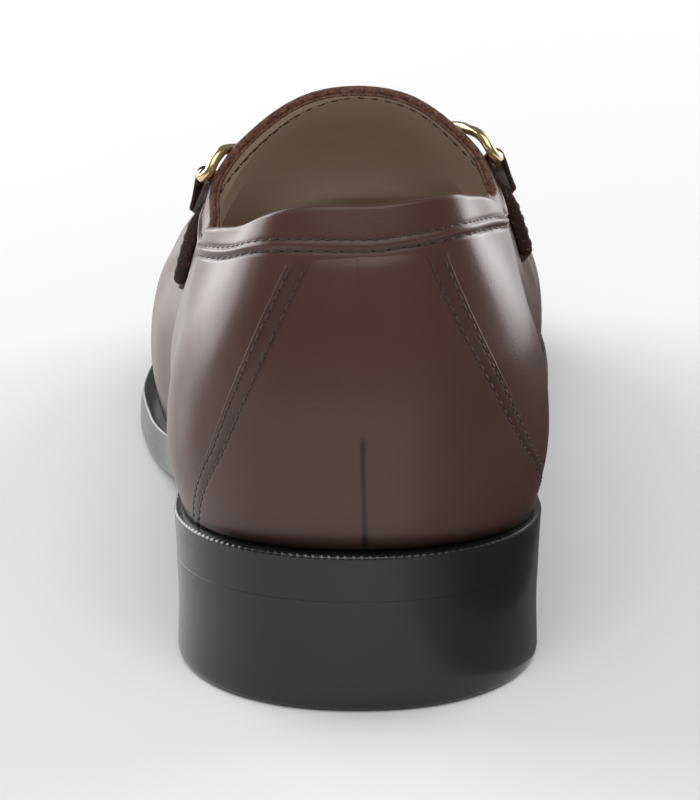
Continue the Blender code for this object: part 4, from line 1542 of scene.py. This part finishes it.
class LOAFER_OT_sole(bpy.types.Operator):
    """Makes the welt with its wheel marks, the outsole and the block heel"""

    bl_idname = "loafer.sole"
    bl_label = "Welt, outsole and heel"

    def execute(self, context):
        finishes = [material_named(sole_edge), material_named(sole_underface)]
        self.make_welt(context, finishes)
        self.make_outsole(finishes)
        self.make_heel(finishes)
        return {"FINISHED"}

    def make_welt(self, context, finishes):
        mesh = Mesh()
        u, side, travel, length = rim_walk(1000)
        marks = round(length / (context.scene.loafer_sizes.wheel_pitch / MM))
        tooth = (0.5 + 0.5 * np.cos(travel / length * marks * 2 * math.pi)) ** 0.7
        base = OUTSOLE_THICKNESS + GAP
        top = base + WELT_THICKNESS
        rings = [upper_ring(u, side, WELT_REACH, base)]
        lean = 0.55 * tread_share(u, side)
        plain = ((0.3, base - 0.2), (0.19, base - 0.18), (0.17, base + 0.3), (0.12, top - 1.0))
        for inset, height in plain:
            rings.append(sole_ring(u, side, inset + lean * (height - base) / WELT_THICKNESS, height))
        wheeled = len(rings)
        for inset, cut, height, drop in (
            (0.04, 0.04, top - 0.5, 0.0), (0.12, 0.13, top - 0.2, 0.05), (0.4, 0.1, top, 0.11),
        ):
            rings.append(sole_ring(u, side, inset + lean + cut * tooth, height - drop * tooth))
        rings.append(sole_ring(u, side, 0.8 + lean, top))
        rings.append(sole_ring(u, side, 2.0, top))
        rings.append(upper_ring(u, side, 0.5, top))
        rings.append(upper_ring(u, side, WELT_REACH, top))
        # Painted glints: the welt's top is coloured paler on the crests between the wheel marks, most of
        # all at the heel's back
        painted_glint = np.zeros((len(rings) + 1, len(u)))
        at_heel = bump(u + 0.12 * side, 0.12) + 0.2 * bump(u, 0.4)
        painted_glint[wheeled + 1:wheeled + 3] = np.clip(1 - 2.4 * tooth, 0, 1) * at_heel
        add_rings(mesh, rings, closed=True, burnish=painted_glint)
        mesh.add_piece("welt_wheeled", finishes, "black_rubber", ["welt"], weld=0.002, sharp=55.0)

    def make_outsole(self, finishes):
        mesh = Mesh()
        u, side, _, _ = rim_walk(420)
        top = OUTSOLE_THICKNESS + GAP
        ahead = tread_share(u, side)
        # Insets in front of the heel block and over it, and heights
        wall = ((1.6, 0.48, 0.0), (0.8, 0.44, 0.04), (0.4, 0.43, 0.5), (0.14, 0.41, 1.2), (0.04, 0.36, 2.2))
        wall += ((0.08, 0.26, 4.2), (0.2, 0.2, top - 0.3), (0.21, 0.21, top - 0.02), (0.5, 0.5, top))
        rings = []
        for tread, seat, height in wall:
            rings.append(sole_ring(u, side, seat + (tread - seat) * ahead, height))
        start = add_rings(mesh, rings)
        add_ladder(mesh, start + (len(wall) - 1) * len(u), len(u))
        channel = ((4.2, 0.0), (4.5, 0.45), (5.3, 0.45), (5.6, 0.0))
        rings = rings[:1] + [sole_ring(u, side, inset, height) for inset, height in channel]
        start = add_rings(mesh, rings, 1)
        add_ladder(mesh, start + len(channel) * len(u), len(u), 1)
        mesh.add_piece("outsole_ironed", finishes, "black_rubber", ["outsole"], weld=0.002, sharp=40.0)

    def make_heel(self, finishes):
        mesh = Mesh()
        u, _ = even_stations(150, 0.0, side_station(HEEL_BREAST - HEEL_CORNER))
        levels = ((1.5, 0.0), (0.95, 0.12), (0.65, 0.4), (0.5, 0.9), (0.5, 2.0), (0.62, 5.0), (0.72, 9.0))
        levels += ((0.68, 12.0), (0.58, 14.5))
        rings = [self.heel_ring(u, inset, lambda y, z=z: np.full(len(y), z)) for inset, z in levels]
        for inset, drop in ((0.46, 0.5), (0.46, 0.03), (0.49, 0.0)):
            rings.append(self.heel_ring(u, inset, lambda y, drop=drop: sole_underside(y) - drop))
        start = add_rings(mesh, rings)
        count = len(rings[0])
        add_ladder(mesh, start, count, 1)
        add_ladder(mesh, start + (len(rings) - 1) * count, count)
        mesh.add_piece("heel_block_ironed", finishes, "black_rubber", ["heel"], weld=0.002, sharp=40.0)

    def heel_ring(self, u, inset, height):
        """Ring round the heel block, with rounded corners at its breast."""
        bend = np.radians(np.linspace(0, 90, 7))[1:]
        sides = []
        for side in (LATERAL, MEDIAL):
            rim = sole_point(u, side, inset)
            x = rim[-1, 0] - side * HEEL_CORNER * (1 - np.cos(bend))
            y = rim[-1, 1] + HEEL_CORNER * np.sin(bend)
            sides.append(np.concatenate((rim, np.stack((x, y), -1))))
        p = np.concatenate((sides[0], sides[1][:0:-1]))
        return np.concatenate((p, height(p[:, 1])[:, None]), axis=1)


class LOAFER_OT_sock(bpy.types.Operator):
    """Makes the insole with its soft sock lining"""

    bl_idname = "loafer.sock"
    bl_label = "Insole and sock"

    def execute(self, context):
        mesh = Mesh()
        u, side, _, _ = rim_walk(220)
        base = OUTSOLE_THICKNESS + WELT_THICKNESS + 2 * GAP
        top = base + INSOLE_THICKNESS
        levels = ((0.4, base), (0.0, base + 0.6), (0.0, top - 0.9), (0.25, top - 0.35), (0.8, top - 0.1))
        levels += ((2.0, top), (5.0, top))
        rings = [upper_ring(u, side, INSOLE_INSET + inset, height) for inset, height in levels]
        start = add_rings(mesh, rings)
        add_ladder(mesh, start, len(u))
        add_ladder(mesh, start + (len(rings) - 1) * len(u), len(u))
        lining = [material_named(lining_leather)]
        mesh.add_piece("insole_sock_lining", lining, "taupe_leather", ["insole"], weld=0.002, sharp=60.0)
        return {"FINISHED"}


def light_property(name, description, default, most=20):
    return bpy.props.FloatProperty(name=name, description=description, default=default, min=0, max=most)


class LoaferStudio(bpy.types.PropertyGroup):
    """Camera and light of the studio."""

    camera_behind: bpy.props.FloatProperty(
        name="Camera behind", description="Distance of the camera behind the heel", default=0.6,
        min=0.3, max=3, unit="LENGTH",
    )
    camera_height: bpy.props.FloatProperty(
        name="Camera height", description="Height of the camera above the floor", default=0.235,
        min=0.05, max=1, unit="LENGTH",
    )
    camera_pitch: bpy.props.FloatProperty(
        name="Camera pitch", description="How far the camera looks down", default=math.radians(16.6),
        min=0, max=HALF_TURN, subtype="ANGLE",
    )
    camera_yaw: bpy.props.FloatProperty(
        name="Camera yaw", description="How far the camera turns to the left", default=math.radians(0.17),
        min=-HALF_TURN, max=HALF_TURN, subtype="ANGLE",
    )
    lens: bpy.props.FloatProperty(
        name="Lens", description="Focal length in mm on a 36 mm sensor", default=168.0, min=20, max=400,
    )
    side_light: light_property("Side light", "Radiance of the outer side's panel", 4.6)
    top_light: light_property("Top light", "Radiance of the overhead panel", 1.5)
    fill_light: light_property("Fill light", "Radiance of the panel behind the camera", 2.1)
    inner_light: light_property("Inner light", "Radiance of the sheet of light on the insole", 0.33)
    room_light: light_property("Room light", "Radiance of the dim room", 0.17, 4)


class LOAFER_OT_studio(bpy.types.Operator):
    """Sets the floor, the light and the camera"""

    bl_idname = "loafer.studio"
    bl_label = "Studio"

    def execute(self, context):
        scene = context.scene
        self.lay_floor(scene)
        self.hang_lights(scene)
        self.stand_flag(scene)
        self.set_camera(scene)
        scene.view_settings.view_transform = "Standard"
        return {"FINISHED"}

    def lay_floor(self, scene):
        half = 6.0
        below = -0.0003
        data = bpy.data.meshes.new("floor")
        corners = [(-half, -half, below), (half, -half, below), (half, half, below), (-half, half, below)]
        data.from_pydata(corners, [], [(0, 1, 2, 3)])
        floor = bpy.data.objects.new("floor", data)
        scene.collection.objects.link(floor)
        material, _, shader, _ = new_material("paper_backdrop_matt")
        shader.inputs["Base Color"].default_value = (*scene.loafer_colours.floor, 1)
        set_shader(shader, Roughness=0.9, IOR=1.2)
        data.materials.append(material)

    def hang_lights(self, scene):
        studio = scene.loafer_studio
        world = bpy.data.worlds.new("white_room")
        world.use_nodes = True
        room = world.node_tree.nodes["Background"]
        room.inputs["Strength"].default_value = studio.room_light
        room.inputs["Color"].default_value = (1, 1, 1, 1)
        scene.world = world
        for name, place, size, radiance in (
            ("panel_outer", (-0.97, 0.7, 0.45), (1.3, 0.9), studio.side_light),
            ("panel_inner", (0.95, 0.85, 0.45), (1.1, 0.9), studio.side_light * 0.85),
            ("panel_top", (0.0, -0.7, 1.5), (1.6, 1.6), studio.top_light),
            ("panel_behind", (0.0, -1.2, 0.75), (1.6, 0.6), studio.fill_light),
            ("panel_inside", (0.0, 0.045, 0.021), (0.03, 0.145), studio.inner_light),
        ):
            light = bpy.data.lights.new(name, "AREA")
            light.shape = "RECTANGLE"
            light.size, light.size_y = size
            light.energy = radiance * math.pi * size[0] * size[1]
            lamp = bpy.data.objects.new(name, light)
            lamp.location = place
            aim = Vector(LIGHT_AIM) - lamp.location
            lamp.rotation_euler = aim.to_track_quat("-Z", "Y").to_euler()
            # The panels that open up the lining show in no reflection
            lamp.visible_glossy = name not in ("panel_behind", "panel_inside")
            lamp.visible_camera = False
            if name == "panel_inside":
                lamp.rotation_euler = (math.pi, 0, 0)
            scene.collection.objects.link(lamp)

    def stand_flag(self, scene):
        """A low grey card on the inner side, bent along the floor to the shoe and seen only in its
        reflections."""
        near, far = 0.034, 0.058
        low = 0.0004
        outline = (
            (-0.42, low), (0.16, low), (0.16, 0.03), (0.0, 0.045), (-0.06, 0.056), (-0.13, 0.058),
            (-0.2, 0.046), (-0.3, 0.022),
        )
        corners = [(far, y, z) for y, z in outline] + [(near, 0.16, low), (near, -0.3, low)]
        data = bpy.data.meshes.new("flag")
        data.from_pydata(corners, [], [range(len(outline)), (0, 1, 8, 9)])
        flag = bpy.data.objects.new("flag", data)
        scene.collection.objects.link(flag)
        flag.visible_camera = False
        flag.visible_diffuse = False
        flag.visible_shadow = False
        material, tree, shader, place = new_material("card_dyed_grey")
        split = add_node(tree, "ShaderNodeSeparateXYZ", None, {0: place})
        # The card pales towards the camera, so that its end leaves no edge in the shine
        share = add_node(
            tree, "ShaderNodeMapRange", {"From Min": -0.24, "From Max": -0.1}, {"Value": split.outputs["Y"]}
        )
        tint = add_node(
            tree, "ShaderNodeMix",
            {"data_type": "RGBA", 6: (*scene.loafer_colours.floor, 1), 7: (*scene.loafer_colours.flag, 1)},
            {0: share.outputs[0]},
        )
        tree.links.new(tint.outputs[2], shader.inputs["Base Color"])
        set_shader(shader, Roughness=0.9)
        data.materials.append(material)

    def set_camera(self, scene):
        studio = scene.loafer_studio
        data = bpy.data.cameras.new("camera")
        data.lens = studio.lens
        data.clip_start = 0.01
        camera = bpy.data.objects.new("camera", data)
        behind = -SOLE_LENGTH / 2 * MM - studio.camera_behind
        camera.location = (-FRAME_X * MM, behind, studio.camera_height)
        camera.rotation_euler = Euler((HALF_TURN - studio.camera_pitch, 0, studio.camera_yaw))
        scene.collection.objects.link(camera)
        scene.camera = camera


class LOAFER_PT_panel(bpy.types.Panel):
    """Lists the loafer's pieces, sizes and colours"""

    bl_idname = "LOAFER_PT_panel"
    bl_label = "Buckle loafer"
    bl_space_type = "VIEW_3D"
    bl_region_type = "UI"
    bl_category = "Loafer"

    def draw(self, context):
        for operator in OPERATORS:
            self.layout.operator(operator.bl_idname)
        scene = context.scene
        for group in (scene.loafer_sizes, scene.loafer_colours, scene.loafer_studio):
            box = self.layout.box()
            for name in group.__annotations__:
                box.prop(group, name)


OPERATORS = (
    LOAFER_OT_upper,
    LOAFER_OT_counter,
    LOAFER_OT_stitching,
    LOAFER_OT_straps,
    LOAFER_OT_bit,
    LOAFER_OT_sole,
    LOAFER_OT_sock,
    LOAFER_OT_studio,
)
CLASSES = (LoaferSizes, LoaferColours, LoaferStudio, *OPERATORS, LOAFER_PT_panel)


def register():
    for item in CLASSES:
        bpy.utils.register_class(item)
    bpy.types.Scene.loafer_sizes = bpy.props.PointerProperty(type=LoaferSizes)
    bpy.types.Scene.loafer_colours = bpy.props.PointerProperty(type=LoaferColours)
    bpy.types.Scene.loafer_studio = bpy.props.PointerProperty(type=LoaferStudio)


def unregister():
    del bpy.types.Scene.loafer_studio
    del bpy.types.Scene.loafer_colours
    del bpy.types.Scene.loafer_sizes
    for item in reversed(CLASSES):
        bpy.utils.unregister_class(item)


def main():
    register()
    bpy.ops.loafer.upper()
    bpy.ops.loafer.counter()
    bpy.ops.loafer.stitching()
    bpy.ops.loafer.straps()
    bpy.ops.loafer.bit()
    bpy.ops.loafer.sole()
    bpy.ops.loafer.sock()
    bpy.ops.loafer.studio()


if __name__ == "__main__":
    main()
